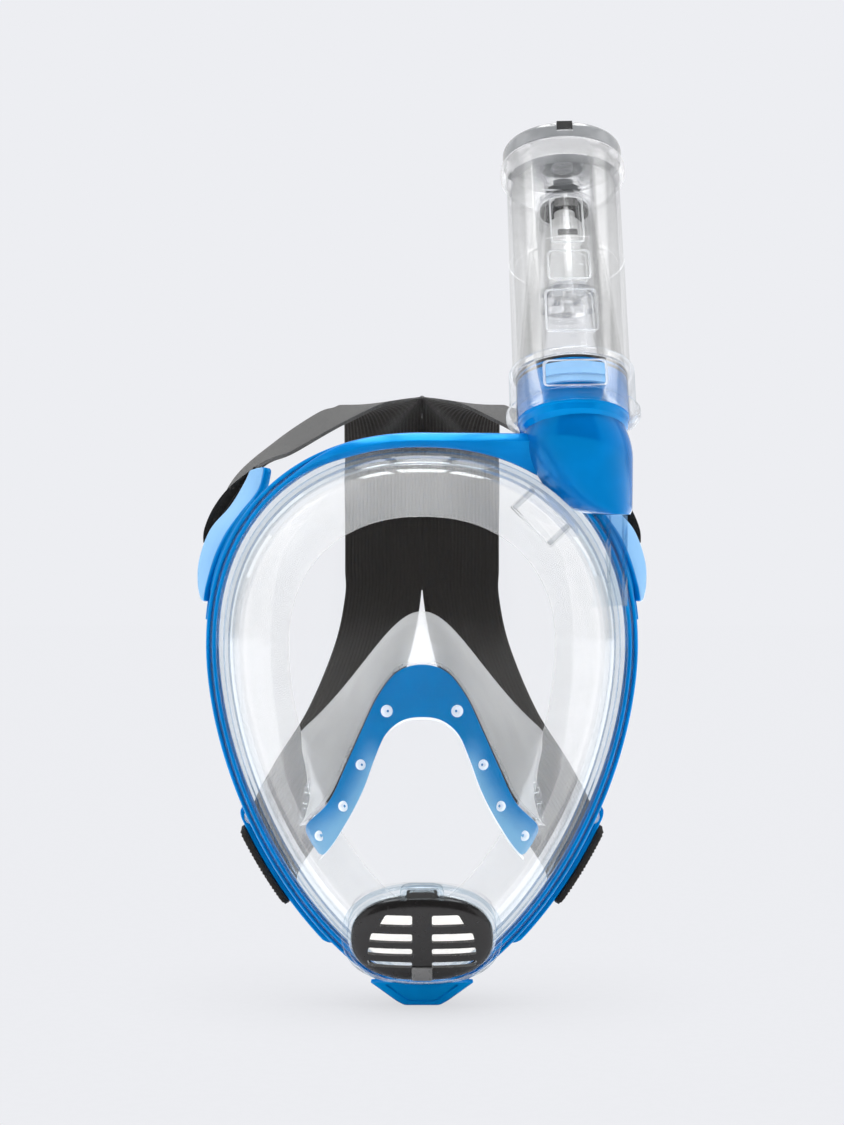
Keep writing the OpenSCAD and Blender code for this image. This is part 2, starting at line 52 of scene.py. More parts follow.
# The lens: how far in from the outline it starts, its wall, and how far it bulges forward.
LENS_INSET, LENS_WALL, LENS_BULGE = 7.8, 2.0, 28
INNER_INSET, INNER_BULGE = LENS_INSET + LENS_WALL, LENS_BULGE - LENS_WALL
OUTER_BACK, INNER_BACK = -2.1, -1
VALVE_W, VALVE_H = 57, 37
# The snorkel's radius and lean, and the heights on it between which the inner cone narrows.
TUBE_R, TILT = 24.6, 20
CONE_LOW, CONE_TOP = 26, 103
STRAP_W = 36
OVAL_POINTS, STRAP_POINTS = 120, 25


# ---- curves -----------------------------------------------------------------------------
def spow(v, p):
    return np.sign(v) * np.abs(v) ** p


def smooth(a, b, v):
    f = np.clip((np.asarray(v, float) - a) / (b - a), 0, 1)
    return f * f * (3 - 2 * f)


def unit(v):
    return v / np.maximum(np.linalg.norm(v, axis=-1, keepdims=True), 1e-9)


def rim(t, d):
    """Outline at the angles t, moved inward by d."""
    c, s = np.cos(np.radians(t)), np.sin(np.radians(t))
    up = s >= 0
    x = (HALF_WIDE - d) * spow(c, np.where(up, 0.909, 1.34))
    z = MID_Z + (np.where(up, RISE, DROP) - d) * spow(s, np.where(up, 0.909, 1.111))
    return x, z


def swept(t):
    """Depth of the outline at the angles t."""
    return SWEEP * (rim(t, 0)[0] / HALF_WIDE) ** 2


def at_rim(t, d, y):
    x, z = rim(t, d)
    return np.stack([x, swept(t) + y, z], -1)


def bulge(s):
    return np.maximum(0, 1 - s ** 4) ** 0.25


def lens_loop(t, s, d, y, h):
    """Outline shrunk by s and moved forward, as on a shell that bulges by h."""
    x, z = rim(t, d)
    back = swept(t) * s * s + y - h * bulge(s)
    return np.stack([x * s, back, MID_Z + (z - MID_Z) * s], -1)


def inside_y(x, z):
    """Depth of the inside of the lens over a point."""
    x, z = np.broadcast_arrays(np.asarray(x, float), np.asarray(z, float))
    up = z >= MID_Z
    w, h = HALF_WIDE - INNER_INSET, np.where(up, RISE, DROP) - INNER_INSET
    power_x, power_z = np.where(up, 2.2, 1.4925), np.where(up, 2.2, 1.8)
    lo, hi = np.full(x.shape, 0.01), np.ones(x.shape)
    for _ in range(16):
        m = (lo + hi) / 2
        out = (np.abs(x) / (m * w)) ** power_x + (np.abs(z - MID_Z) / (m * h)) ** power_z > 1
        lo, hi = np.where(out, m, lo), np.where(out, hi, m)
    return SWEEP * (x / w) ** 2 + INNER_BACK - INNER_BULGE * bulge((lo + hi) / 2)


def cubic(a, b, c, d, u):
    """Bezier curve at u."""
    a, b, c, d = (np.asarray(p, float) for p in (a, b, c, d))
    u = np.asarray(u, float)[..., None]
    return a * (1 - u) ** 3 + b * 3 * u * (1 - u) ** 2 + c * 3 * u * u * (1 - u) + d * u ** 3


def through(points, u):
    """Smooth curve through the points, u from 0 to 1."""
    p = np.asarray(points, float)
    n = len(p) - 1
    u = np.atleast_1d(np.asarray(u, float))
    i = np.clip(np.floor(u * n), 0, n - 1).astype(int)
    a, b, c, d = p[np.maximum(0, i - 1)], p[i], p[i + 1], p[np.minimum(n, i + 2)]
    f = (u * n - i)[:, None]
    b1, c1 = b + (c - a) / 6, c - (d - b) / 6
    return b * (1 - f) ** 3 + b1 * 3 * f * (1 - f) ** 2 + c1 * 3 * f * f * (1 - f) + c * f ** 3


def fillet(points, r, k=4):
    """Closed section with its corners rounded by about r."""
    p = [np.array(q, float) for q in points]
    out = []
    for i, b in enumerate(p):
        u, v = p[i - 1] - b, p[(i + 1) % len(p)] - b
        lu, lv = np.linalg.norm(u), np.linalg.norm(v)
        a, c = b + u / lu * min(r, lu * 0.46), b + v / lv * min(r, lv * 0.46)
        for f in np.linspace(0, 1, k):
            out.append((1 - f) ** 2 * a + 2 * f * (1 - f) * b + f * f * c)
    return np.array(out)


def oval(w, h):
    """Outline a little squarer than an ellipse."""
    a = np.radians(np.arange(OVAL_POINTS) * 360 / OVAL_POINTS)
    return np.stack([w / 2 * spow(np.cos(a), 0.85), h / 2 * spow(np.sin(a), 0.85)], -1)


def turn(axis, degrees):
    return np.array(Matrix.Rotation(math.radians(degrees), 3, axis))


# A place is a turn and a point: the snorkel's seat on the elbow and the chin valve's seat.
SNORKEL = (turn("Y", -1.2) @ turn("X", -TILT), np.array([63.2, 9, 238.5]))
VALVE = (turn("X", 108), np.array([0, -26.5, 31]))


def place(points, where):
    return np.asarray(points, float) @ where[0].T + where[1]


# ---- mesh building ----------------------------------------------------------------------
def skin(loops, ring=False):
    """Points and faces over equal closed loops; ring joins the last loop to the first."""
    loops = np.asarray(loops, float)
    n, m = loops.shape[:2]
    i, j = np.meshgrid(np.arange(n if ring else n - 1), np.arange(m), indexing="ij")
    i, j, ni, nj = i.ravel(), j.ravel(), (i.ravel() + 1) % n, (j.ravel() + 1) % m
    faces = np.stack([i * m + j, i * m + nj, ni * m + nj, ni * m + j], -1).tolist()
    if not ring:
        faces += [list(range(m)), list(range((n - 1) * m, n * m))]
    return loops.reshape(-1, 3), faces


def build(name, points, faces, *mats, flow=None, sharp=32, pick=None):
    """Object from points in millimetres; pick is the material of each face."""
    mesh = bpy.data.meshes.new(name)
    mesh.from_pydata((np.asarray(points) * 0.001).tolist(), [], faces)
    bm = bmesh.new()
    bm.from_mesh(mesh)
    bmesh.ops.recalc_face_normals(bm, faces=bm.faces)
    bm.to_mesh(mesh)
    bm.free()
    mesh.shade_smooth()
    mesh.set_sharp_from_angle(angle=math.radians(sharp))
    for m in mats:
        mesh.materials.append(m)
    if flow is not None:
        a = mesh.attributes.new("flow", "FLOAT_VECTOR", "POINT")
        a.data.foreach_set("vector", np.asarray(flow, np.float32).ravel())
    if pick is not None:
        mesh.polygons.foreach_set("material_index", np.asarray(pick, np.int32))
    obj = bpy.data.objects.new(name, mesh)
    bpy.context.scene.collection.objects.link(obj)
    return obj


def finish_piece(obj, body, slot, *nodes):
    """Piece that rides on a body and stands in for the given CAD nodes."""
    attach(obj, body)
    if nodes:
        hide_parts(*nodes)
    return obj


def cut(obj, *cutters):
    """obj with the cutters taken away."""
    for c in cutters:
        m = obj.modifiers.new("cut", "BOOLEAN")
        m.operation, m.object, m.solver = "DIFFERENCE", c, "EXACT"
    deps = bpy.context.evaluated_depsgraph_get()
    done = bpy.data.meshes.new_from_object(obj.evaluated_get(deps), depsgraph=deps)
    obj.modifiers.clear()
    old, obj.data = obj.data, done
    bpy.data.meshes.remove(old)
    for c in cutters:
        mesh = c.data
        bpy.data.objects.remove(c)
        bpy.data.meshes.remove(mesh)
    obj.data.shade_smooth()
    obj.data.set_sharp_from_angle(angle=math.radians(32))
    return obj


def loops_flow(loops):
    """Distance along and across the loops, in millimetres, for every point."""
    loops = np.asarray(loops, float)
    along = np.linalg.norm(np.diff(loops, axis=0, prepend=loops[:1]), axis=-1).mean(1)
    across = np.linalg.norm(np.diff(loops, axis=1, prepend=loops[:, :1]), axis=-1)
    u = np.broadcast_to(np.cumsum(along)[:, None], loops.shape[:2])
    v = np.cumsum(across, 1)
    return np.stack([u, v, np.zeros_like(v)], -1).reshape(-1, 3)


T = np.arange(0, 360, 1.5)


def rim_loops(section, t=T):
    """Section of inward and backward offsets carried round the outline."""
    return np.stack([at_rim(t, d, y) for d, y in section], 1)


def lathe(profile, where, n=128):
    """Loops round the local z axis; the profile is a closed list of radius and height."""
    p = np.asarray(profile, float)
    a = np.radians(np.arange(n) * 360 / n)
    ring = np.stack(
        [
            p[None, :, 0] * np.cos(a)[:, None],
            p[None, :, 0] * np.sin(a)[:, None],
            np.broadcast_to(p[:, 1], (n, len(p))),
        ],
        -1,
    )
    return place(ring, where)


def turned(name, profile, where, mat, r, k):
    """Lathed piece with its corners rounded by r."""
    loops = lathe(fillet(profile, r, k), where)
    return build(name, *skin(loops, ring=True), mat, flow=loops_flow(loops))


def flat_loop(outline, z):
    """Outline as a level loop at the height z."""
    return np.column_stack([outline, np.full(len(outline), z)])


def prism(name, outline, z0, z1, where, mat, edge=0.4):
    """Plate with rounded edges; its outline goes round once."""
    p = np.asarray(outline, float)
    mid = p.mean(0)
    side = unit(np.roll(p, -1, 0) - np.roll(p, 1, 0))
    out = np.stack([side[:, 1], -side[:, 0]], -1)
    out *= np.sign(np.sum(out * (p - mid)))
    loops = []
    for f, z in ((1, z0), (0.3, z0 + edge * 0.3), (0, z0 + edge), (0, z1 - edge),
                 (0.3, z1 - edge * 0.3), (1, z1)):
        loops.append(flat_loop(p - out * f * edge, z))
    return build(name, *skin(place(np.array(loops), where)), mat)


def slab(x0, x1, y0, y1, r=0.6, k=5):
    """Rectangle with rounded corners."""
    return fillet([(x0, y0), (x1, y0), (x1, y1), (x0, y1)], r, k)


def cutter(outline, z0, z1, where):
    """Straight prism that is only used to cut with."""
    p = np.asarray(outline, float)
    loops = [flat_loop(p, z) for z in (z0, z1)]
    return build("cutter", *skin(place(np.array(loops), where)), sharp=180)


# ---- materials --------------------------------------------------------------------------
class Nodes:
    """Short hand for the node tree of a material or of the world."""

    def __init__(self, owner, coordinates="Object"):
        self.owner = owner
        owner.use_nodes = True
        self.tree = owner.node_tree
        self.tree.nodes.clear()
        self.where = self.n("TexCoord").outputs[coordinates]

    def n(self, kind, props=None, **inputs):
        node = self.tree.nodes.new("ShaderNode" + kind)
        for k, v in (props or {}).items():
            setattr(node, k, v)
        for k, v in inputs.items():
            k = int(k[1:]) if k[0] == "_" else k.replace("_", " ")
            if isinstance(v, bpy.types.NodeSocket):
                self.tree.links.new(v, node.inputs[k])
            else:
                node.inputs[k].default_value = v
        return node

    def noise(self, scale, detail=2.0, at=None, rough=0.5):
        return self.n("TexNoise", Vector=at or self.where, Scale=scale, Detail=detail,
                      Roughness=rough).outputs["Fac"]

    def math(self, op, a, b=0.0):
        return self.n("Math", {"operation": op}, _0=a, _1=b).outputs[0]

    def ramp(self, v, a, b, lo=0.0, hi=1.0):
        return self.n("MapRange", {"interpolation_type": "SMOOTHSTEP"}, Value=v,
                      From_Min=a, From_Max=b, To_Min=lo, To_Max=hi).outputs[0]

    def mix(self, f, a, b):
        node = self.n("Mix", {"data_type": "RGBA"}, _0=f)
        for i, v in ((6, a), (7, b)):
            if isinstance(v, bpy.types.NodeSocket):
                self.tree.links.new(v, node.inputs[i])
            else:
                node.inputs[i].default_value = (*v[:3], 1)
        return node.outputs[2]

    def blend(self, f, a, b):
        return self.n("MixShader", _0=f, _1=a, _2=b).outputs[0]

    def bump(self, height, strength, distance=0.0002, normal=None):
        extra = {"Normal": normal} if normal else {}
        return self.n("Bump", Height=height, Strength=strength, Distance=distance,
                      **extra).outputs[0]

    def facing(self):
        return self.n("LayerWeight", Blend=0.5).outputs["Facing"]

    def flow(self, sx, sy):
        """Distances along and across the piece, scaled."""
        v = self.n("Attribute", {"attribute_name": "flow"}).outputs["Vector"]
        return self.n("VectorMath", {"operation": "MULTIPLY"}, _0=v, _1=(sx, sy, 1)).outputs[0]

    def weight(self):
        """Third value that a piece stores for each point."""
        v = self.n("Attribute", {"attribute_name": "flow"}).outputs["Vector"]
        return self.n("SeparateXYZ", _0=v).outputs[2]

    def done(self, shader):
        self.n("OutputMaterial", Surface=shader)
        return self.owner


def new_nodes(name):
    return Nodes(bpy.data.materials.new(name))


def blue_plastic(name, color=(0.0, 0.165, 0.5), rough=0.17, painted_sheen=None, tint=(0.01, 0.6, 1, 1)):
    m = new_nodes(name)
    low, fine = m.noise(60, 2), m.noise(900, 3)
    # painted highlight: sharp convex edges are mixed towards a lighter blue
    edge_highlight = m.ramp(m.n("NewGeometry").outputs["Pointiness"], 0.52, 0.6)
    shade = m.mix(m.ramp(low, 0.3, 0.7), color, [c * 0.86 for c in color])
    shade = m.mix(m.math("MULTIPLY", edge_highlight, 0.18), shade, (0.0, 0.36, 0.8))
    # painted sheen: where the stored weight is high, the blue is mixed towards a paler colour that
    # stands in for reflected light
    if painted_sheen:
        cloud = m.math("MULTIPLY", m.math("SUBTRACT", m.noise(140, 3), 0.5), 0.16)
        f = m.math("ADD", m.weight(), cloud)
        shade = m.mix(m.ramp(f, 0.1, 1.0), shade, painted_sheen)
    b = m.n("BsdfPrincipled", Base_Color=shade,
            Roughness=m.ramp(fine, 0.25, 0.8, rough * 0.8, rough * 1.4),
            Specular_IOR_Level=0.9, Specular_Tint=tint,
            Normal=m.bump(m.math("ADD", m.noise(2600, 2), m.math("MULTIPLY", low, 2.0)), 0.07))
    return m.done(b.outputs[0])


def clear_plastic(name, tint, edge, power, gloss, painted_streak=None):
    """See-through, darker towards its edges as painted shade, with a thin reflection on top."""
    m = new_nodes(name)
    normal = m.bump(m.noise(55, 1), 0.12, 0.001)
    normal = m.bump(m.noise(1400, 2), 0.03, 0.0002, normal)
    # painted shade: the see-through colour turns darker at grazing angles
    face = m.math("POWER", m.facing(), power)
    color = m.mix(face, tint, edge)
    # painted reflection: bluish streaks along the wall stand in for the blue frame reflected inside
    # it
    if painted_streak:
        lines = m.noise(1.0, 3, m.flow(*painted_streak[0]), 0.65)
        color = m.mix(m.ramp(lines, 0.42, 0.62), color, m.mix(0.5, color, painted_streak[1]))
    see = m.n("BsdfTransparent", Color=color)
    shine = m.n("BsdfGlossy", Color=(1, 1, 1, 1), Normal=normal,
                Roughness=m.ramp(m.noise(300, 2), 0.3, 0.8, 0.04, 0.1))
    fres = m.n("Fresnel", IOR=1.49, Normal=normal).outputs[0]
    fac = m.math("MINIMUM", m.math("MULTIPLY", fres, gloss), 0.85)
    shadow = m.n("LightPath").outputs["Is Shadow Ray"]
    fac = m.math("MULTIPLY", fac, m.math("SUBTRACT", 1.0, shadow))
    return m.done(m.blend(fac, see.outputs[0], shine.outputs[0]))


def milky(name, alpha, color=(0.95, 0.945, 0.925), rough=0.35, per_point=False, glow=0.0):
    """Cloudy silicone or frosted plastic; per_point thins it by the stored weight; glow adds a
    painted glow.
    """
    m = new_nodes(name)
    cloud = m.ramp(m.noise(45, 4), 0.25, 0.8, 0.9, 1.1)
    a = m.math("MULTIPLY", cloud, alpha)
    if per_point:
        a = m.math("MULTIPLY", a, m.weight())
    a = m.math("ADD", a, m.math("MULTIPLY", m.math("POWER", m.facing(), 4.0), 0.3))
    normal = m.bump(m.noise(900, 3), 0.12, 0.0002)
    body = m.blend(0.5, m.n("BsdfDiffuse", Color=(*color, 1), Normal=normal).outputs[0],
                   m.n("BsdfTranslucent", Color=(*color, 1), Normal=normal).outputs[0])
    # painted glow: emission on a part that is no lamp
    if glow:
        body = m.n("AddShader", _0=body,
                   _1=m.n("Emission", Color=(*color, 1), Strength=glow).outputs[0]).outputs[0]
    shine = m.n("BsdfGlossy", Roughness=m.ramp(m.noise(500, 2), 0.3, 0.7, rough, rough * 1.3),
                Normal=normal)
    fres = m.n("Fresnel", IOR=1.42, Normal=normal).outputs[0]
    thick = m.blend(m.math("MULTIPLY", fres, 0.8), body, shine.outputs[0])
    see = m.n("BsdfTransparent", Color=(1, 1, 1, 1))
    return m.done(m.blend(a, see.outputs[0], thick))


def webbing(name, color, rib=0.0):
    m = new_nodes(name)
    weave = m.n("TexWave", {"wave_type": "BANDS", "bands_direction": "X"}, Scale=0.62,
                Distortion=1.2, Detail=2.0, Vector=m.flow(1.0, 1.0)).outputs["Fac"]
    knit = m.n("TexVoronoi", Vector=m.flow(1.3, 2.2), Scale=1.0).outputs["Distance"]
    fuzz = m.noise(2500, 3)
    shade = m.mix(m.ramp(knit, 0.1, 0.7), color, [c * 0.5 for c in color])
    shade = m.mix(m.math("MULTIPLY", m.ramp(fuzz, 0.5, 0.8), 0.35), shade, [c * 2.6 for c in color])
    h = m.math("ADD", m.math("MULTIPLY", weave, 0.5 + rib), m.math("MULTIPLY", knit, -0.9))
    b = m.n("BsdfPrincipled", Base_Color=shade, Roughness=0.82, Sheen_Weight=0.12,
            Specular_IOR_Level=0.25,
            Normal=m.bump(m.math("ADD", h, m.math("MULTIPLY", fuzz, 0.5)), 0.55, 0.0003))
    return m.done(b.outputs[0])


def solid(name, color, rough, coat=0.0, spec=0.5):
    m = new_nodes(name)
    shade = m.mix(m.ramp(m.noise(80, 3), 0.3, 0.7), color, [c * 0.8 for c in color])
    b = m.n("BsdfPrincipled", Base_Color=shade, Coat_Weight=coat, Coat_Roughness=0.08,
            Roughness=m.ramp(m.noise(350, 3), 0.3, 0.7, rough * 0.8, rough * 1.3),
            Specular_IOR_Level=spec, Normal=m.bump(m.noise(1500, 3), 0.06))
    return m.done(b.outputs[0])


BLUE = blue_plastic("blue_gloss")
# darker copy of the blue for the elbow: painted shade
ELBOW = blue_plastic("blue_elbow", (0.0, 0.125, 0.42), 0.09)
# darker than the frame's blue as painted shade, with painted sheen on the inner side and the ends
# of the legs
BLUE_V = blue_plastic("blue_pocket", (0.0, 0.15, 0.42), 0.3, painted_sheen=(0.2, 0.4, 0.6),
                      tint=(0.0, 0.3, 0.5, 1))
BLUE_CLIP = blue_plastic("blue_clip", (0.0, 0.175, 0.52), 0.15)
# wing blue with a paler painted reflection over its outer part
WING = blue_plastic("blue_wing", (0.0, 0.165, 0.5), 0.14, painted_sheen=(0.26, 0.46, 0.72))
BLUE_PALE = blue_plastic("blue_pale", (0.3, 0.52, 0.8), 0.2, tint=(0.6, 0.85, 1, 1))
CLEAR = clear_plastic("clear_lens", (0.99, 0.992, 0.993), (0.75, 0.78, 0.8), 3.0, 0.13)
# side wall of the lens with painted bluish reflection streaks
CLEAR_WALL = clear_plastic("clear_wall", (0.99, 0.993, 0.996), (0.7, 0.76, 0.8), 2.4, 0.42,
                           painted_streak=((0.02, 1.1), (0.62, 0.74, 0.82)))
COLLAR = clear_plastic("clear_collar", (0.995, 0.996, 0.998), (0.86, 0.9, 0.94), 3.0, 0.5)
BOX = clear_plastic("clear_box", (0.955, 0.96, 0.96), (0.3, 0.31, 0.32), 1.3, 0.7)
CLEAR_TUBE = clear_plastic("clear_tube", (0.992, 0.993, 0.994), (0.93, 0.935, 0.94), 3.0, 0.5)
CLEAR_DUCT = clear_plastic("clear_duct", (0.99, 0.991, 0.992), (0.86, 0.865, 0.87), 2.4, 0.55)
WHITE_CLEAR = milky("white_clear", 0.5, (0.97, 0.98, 0.99), 0.08)
PLAIN_WALL = milky("grey_clear", 0.45, (0.8, 0.81, 0.83), 0.2)
SILICONE = milky("milky_silicone", 0.24, per_point=True)
POCKET = milky("pocket_silicone", 0.27)
FLANGE = milky("flange_clear", 0.24, (1, 1, 1), 0.06)
# studs and bead are given a painted glow
STUD = milky("stud_clear", 0.8, (1, 1, 1), 0.08, glow=0.25)
# valve sheet is given a painted glow
VALVE_SHEET = milky("valve_silicone", 0.8, (0.95, 0.94, 0.92), glow=0.5)
WEB_IN = webbing("webbing_ribbed", (0.021, 0.018, 0.015), 0.4)
WEB_OUT = webbing("webbing_smooth", (0.085, 0.085, 0.085))
BLACK = solid("black_gloss", (0.007, 0.006, 0.006), 0.22, 0.12, spec=0.3)
RUBBER = solid("black_rubber", (0.018, 0.018, 0.018), 0.55, spec=0.3)
FROST = milky("frosted_plastic", 0.75, (0.95, 0.95, 0.94), 0.3)
CAP = solid("grey_cap", (0.27, 0.28, 0.29), 0.16, 0.6)
SMOKE_TAB = solid("grey_tab", (0.12, 0.12, 0.12), 0.3, 0.3)


# ---- frame and visor --------------------------------------------------------------------
# Where the rim widens into its top bar, and where that bar runs level towards the elbow.
WIDE = smooth(130, 105, T) * smooth(50, 60, T)
LEVEL = (T < 90) & (T > 40)
SIN = np.maximum(np.sin(np.radians(T)), 0.2) ** 0.909


def level_shift(d):
    """Change of an inward offset that keeps its line at one height."""
    return RISE - (RISE - d) / SIN - d


def front_rim():
    """Thin rim round the lens with a wide bar over the forehead."""
    thin = fillet([(2.7, -2.2), (2.7, -4.0), (3.0, -4.8), (3.6, -5.1), (4.2, -4.9), (4.6, -4.2),
                   (4.6, -2.2)], 0.3, 3)
    wide = fillet([(0.3, -3.4), (0.2, -5.2), (0.7, -6.1), (3.7, -8.6), (6.1, -5.8), (6.3, -4.6),
                   (6.0, -3.0)], 0.3, 3)
    edge, ridge = level_shift(0.2), level_shift(3.6)
    loops = []
    for i, t in enumerate(T):
        w = wide.copy()
        if LEVEL[i]:
            w[:9, 0] += edge[i]
            w[9:12, 0] += ridge[i]
        s = thin + (w - thin) * WIDE[i]
        loops.append(np.stack([at_rim(np.array(t), d, y) for d, y in s]))
    loops = np.array(loops)
    o = build("front_rim", *skin(loops, ring=True), BLUE, flow=loops_flow(loops), sharp=50)
    return finish_piece(o, "mask", "blue_plastic", "front_frame")


def chin_plate():
    """Flat blue pad under the chin with a sunk panel."""
    half = [(7.2, 0.0), (10.4, 1.7), (21.5, 9.6)]
    outline = np.array(half + [(-x, z) for x, z in half[::-1]])
    mid = np.array([0, 6.0])
    loops = []
    for f, y, r in ((1, -3.3, 1.2), (1, -9.6, 1.2), (0.95, -10.4, 1.2), (0.72, -10.4, 1.0),
                    (0.66, -9.5, 0.8), (0.3, -9.4, 0.4)):
        p = fillet(mid + (outline - mid) * f, r, 5)
        p[:, 1] = np.maximum(p[:, 1], 0.0)
        loops.append(np.stack([p[:, 0], np.full(len(p), y), p[:, 1]], -1))
    o = build("chin_plate", *skin(loops), BLUE)
    return finish_piece(o, "mask", "blue_plastic")


def rear_rim():
    """Band behind the lens that the front rim closes against."""
    s = fillet([(1.8, 1), (1.8, -2.6), (1.4, -3.1), (0.6, -3.1), (0, -2.4), (0, 5.4), (1, 6.5),
                (4.4, 6.5), (5.2, 5.6), (5.2, 1)], 0.4, 3)
    loops = rim_loops(s)
    o = build("rear_rim", *skin(loops, ring=True), BLUE, flow=loops_flow(loops), sharp=50)
    return finish_piece(o, "mask", "blue_plastic", "rear_frame")


def lens():
    """Clear shell; the inside of its side wall is rippled, as moulded plastic is."""
    n = 34
    steps = 1 - 0.97 * np.linspace(0, 1, n) ** 2.6
    outer = [lens_loop(T, s, LENS_INSET, OUTER_BACK, LENS_BULGE) for s in steps[::-1]]
    rib = 0.35 * np.sin(np.arange(n) * 2.2) * smooth(0.82, 0.9, steps) * smooth(1, 0.985, steps)
    inner = [lens_loop(T, s, INNER_INSET + r, INNER_BACK, INNER_BULGE - r)
             for s, r in zip(steps, rib)]
    edge = [at_rim(T, 2.9, y) for y in (OUTER_BACK, INNER_BACK)]
    loops = np.array(outer + edge + inner)
    flow = loops_flow(np.swapaxes(loops, 0, 1)).reshape(len(T), len(loops), 3)
    o = build("lens_shell", *skin(loops), CLEAR, CLEAR_WALL,
              flow=np.swapaxes(flow, 0, 1).reshape(-1, 3), sharp=60)
    level = np.concatenate([steps[::-1], [1, 1], steps])
    per = np.repeat(((level[:-1] + level[1:]) / 2 > 0.93).astype(int), len(T))
    o.data.polygons.foreach_set("material_index", np.concatenate([per, [0, 0]]).astype(np.int32))
    cut(o, cutter(oval(VALVE_W + 3, VALVE_H + 3), -30, 30, VALVE))
    return finish_piece(o, "mask", "clear_plastic", "lens")


def skirt():
    """Soft wall behind the rim with a lip that rests on the face."""
    lip = 21
    s = [(2, -2.9), (2.5, -2.9), (2.55, -0.9), (9.2, -0.9), (11, 5), (12.4, lip - 7),
         (16, lip - 1.6), (24, lip - 1), (33.4, lip - 4.8), (34.2, lip - 4.8), (34.4, lip - 3.4),
         (33.6, lip - 3.0), (24.5, lip + 0.8), (15, lip + 0.3), (10.8, lip - 6), (9.4, 6),
         (8, 0.9), (2, 0.9)]
    sec = fillet(s, 2.2, 5)
    loops = rim_loops(sec)
    flow = loops_flow(loops)
    d = np.tile(sec[:, 0], len(T))
    flow[:, 2] = 0.45 + 0.55 * smooth(11, 17, d)
    o = build("face_skirt_soft", *skin(loops, ring=True), SILICONE, flow=flow, sharp=60)
    return finish_piece(o, "mask", "milky_silicone", "face_skirt")


# ---- nose pocket ------------------------------------------------------------------------
# Outer and inner edge of the frame from the top of its arch to the end of one leg, as x and z.
ARCH_OUT = [(0, 139.9), (10, 136.8), (18, 126.7), (24.5, 113), (30.9, 98.6), (37.1, 85.1),
            (43.4, 77.4), (48.6, 72)]
ARCH_IN = [(0, 118.8), (8, 117.4), (14.6, 111.8), (19.1, 101.9), (23.6, 89.6), (29.2, 78.3),
           (36, 67.4), (41.5, 60.6)]


def arch_out(u):
    return through([(-10, 136.8)] + ARCH_OUT, (u * 7 + 1) / 8)[0]


def arch_in(u):
    return through([(-8, 117.4)] + ARCH_IN, (u * 7 + 1) / 8)[0]


def pocket_point(u, v, off):
    """Point of the pocket: u runs round the arch, v from the frame back to the face."""
    f = arch_out(abs(u))
    x = f[0] + 1.4 * abs(u)
    front = np.array([x, inside_y(x, f[1]) + 2.6, f[1] + 1.2])
    if abs(u) < 0.6:
        back = cubic((0, 10, 160), (14, 10, 160), (26, 26, 130), at_rim(np.array(-22), 35, 13),
                     abs(u) / 0.6)
    else:
        t = np.array(-22 - 22 * (abs(u) - 0.6) / 0.4)
        back = at_rim(t, 35 - 2 * smooth(0.6, 0.7, abs(u)), 13)
    p = front * (1 - v) + back * v
    q = unit(np.array([p[0] + 0.01, 0, p[2] - 80]))
    full = p + q * (off + 2.5 * math.sin(math.pi * v))
    return np.array([full[0] * (1 if u >= 0 else -1), full[1], full[2]])


def nose_pocket():
    """Soft pocket round the nose with a round opening on each side."""
    across = np.linspace(0, 1, 13)
    loops = np.array([[pocket_point(u, v, 0.7) for v in across]
                      + [pocket_point(u, v, -0.7) for v in across[::-1]]
                      for u in np.linspace(-1, 1, 97)])
    o = build("nose_pocket_soft", *skin(loops), POCKET, flow=loops_flow(loops), sharp=60)
    a = np.radians(np.arange(36) * 10)
    disc = np.stack([np.cos(a) * 8.2, np.sin(a) * 8.2], -1)
    tilt = turn("Y", -100) @ turn("X", 8)
    flip = np.diag([-1.0, 1, 1])
    at = pocket_point(0.86, 0.5, 0)
    cut(o, cutter(disc, -8, 8, (tilt, at)), cutter(disc, -8, 8, (flip @ tilt, at * (-1, 1, 1))))
    return finish_piece(o, "mask", "milky_silicone", "nose_pocket")


def pocket_frame():
    """Flat blue arch on the inside of the lens, and the clear bead along its inner edge."""
    n = 80
    loops, painted_sheen = [], []
    for i in range(-n, n + 1):
        u = abs(i) / n
        s = 1 if i >= 0 else -1
        a, b = arch_out(u), arch_in(u)
        e = np.clip((u - 0.88) / 0.12, 0, 1)
        grow = 1 + 0.1 * smooth(0.75, 0.95, u)
        half = (1 - e ** 3.0) ** (1 / 3.0) * grow * 0.5
        mid, arm = (a + b) / 2, (a - b) * half
        sec = fillet([(1, 1.0), (1, 2.8), (-1, 2.8), (-1, 1.0), (-0.5, 0.75), (0.5, 0.75)], 0.12, 3)
        p = [mid + arm * w for w, _ in sec]
        loops.append([(s * q[0], inside_y(q[0], q[1]) + y, q[1]) for q, (_, y) in zip(p, sec)])
        # painted sheen: weight for the paler blue, high on the inner side and towards the ends of
        # the legs
        pale, end = 0.8 * smooth(0.28, 0.5, u), 0.35 * smooth(0.55, 1, u)
        painted_sheen.append([max(0.0, (0.5 - w * 0.5) * pale + end) for w, _ in sec])
    loops = np.array(loops)
    flow = loops_flow(loops)
    flow[:, 2] = np.array(painted_sheen).ravel()
    o = build("pocket_frame_arch", *skin(loops), BLUE_V, flow=flow, sharp=40)
    finish_piece(o, "mask", "blue_plastic", "pocket_frame")
    bead = []
    for i in range(-60, 61):
        b = arch_in(abs(i) / 60) * (1 if i >= 0 else -1, 1)
        angles = np.linspace(0, 2 * math.pi, 12)[:-1]
        sec = [(0.55 * math.cos(a), 0.55 * math.sin(a)) for a in angles]
        y = inside_y(abs(b[0]), b[1]) + 1.5
        bead.append([(b[0] + p * 0.4, y + q, b[1] - 0.5 + p) for p, q in sec])
    o = build("pocket_frame_bead", *skin(np.array(bead)), STUD)
    return finish_piece(o, "mask", "milky_silicone")


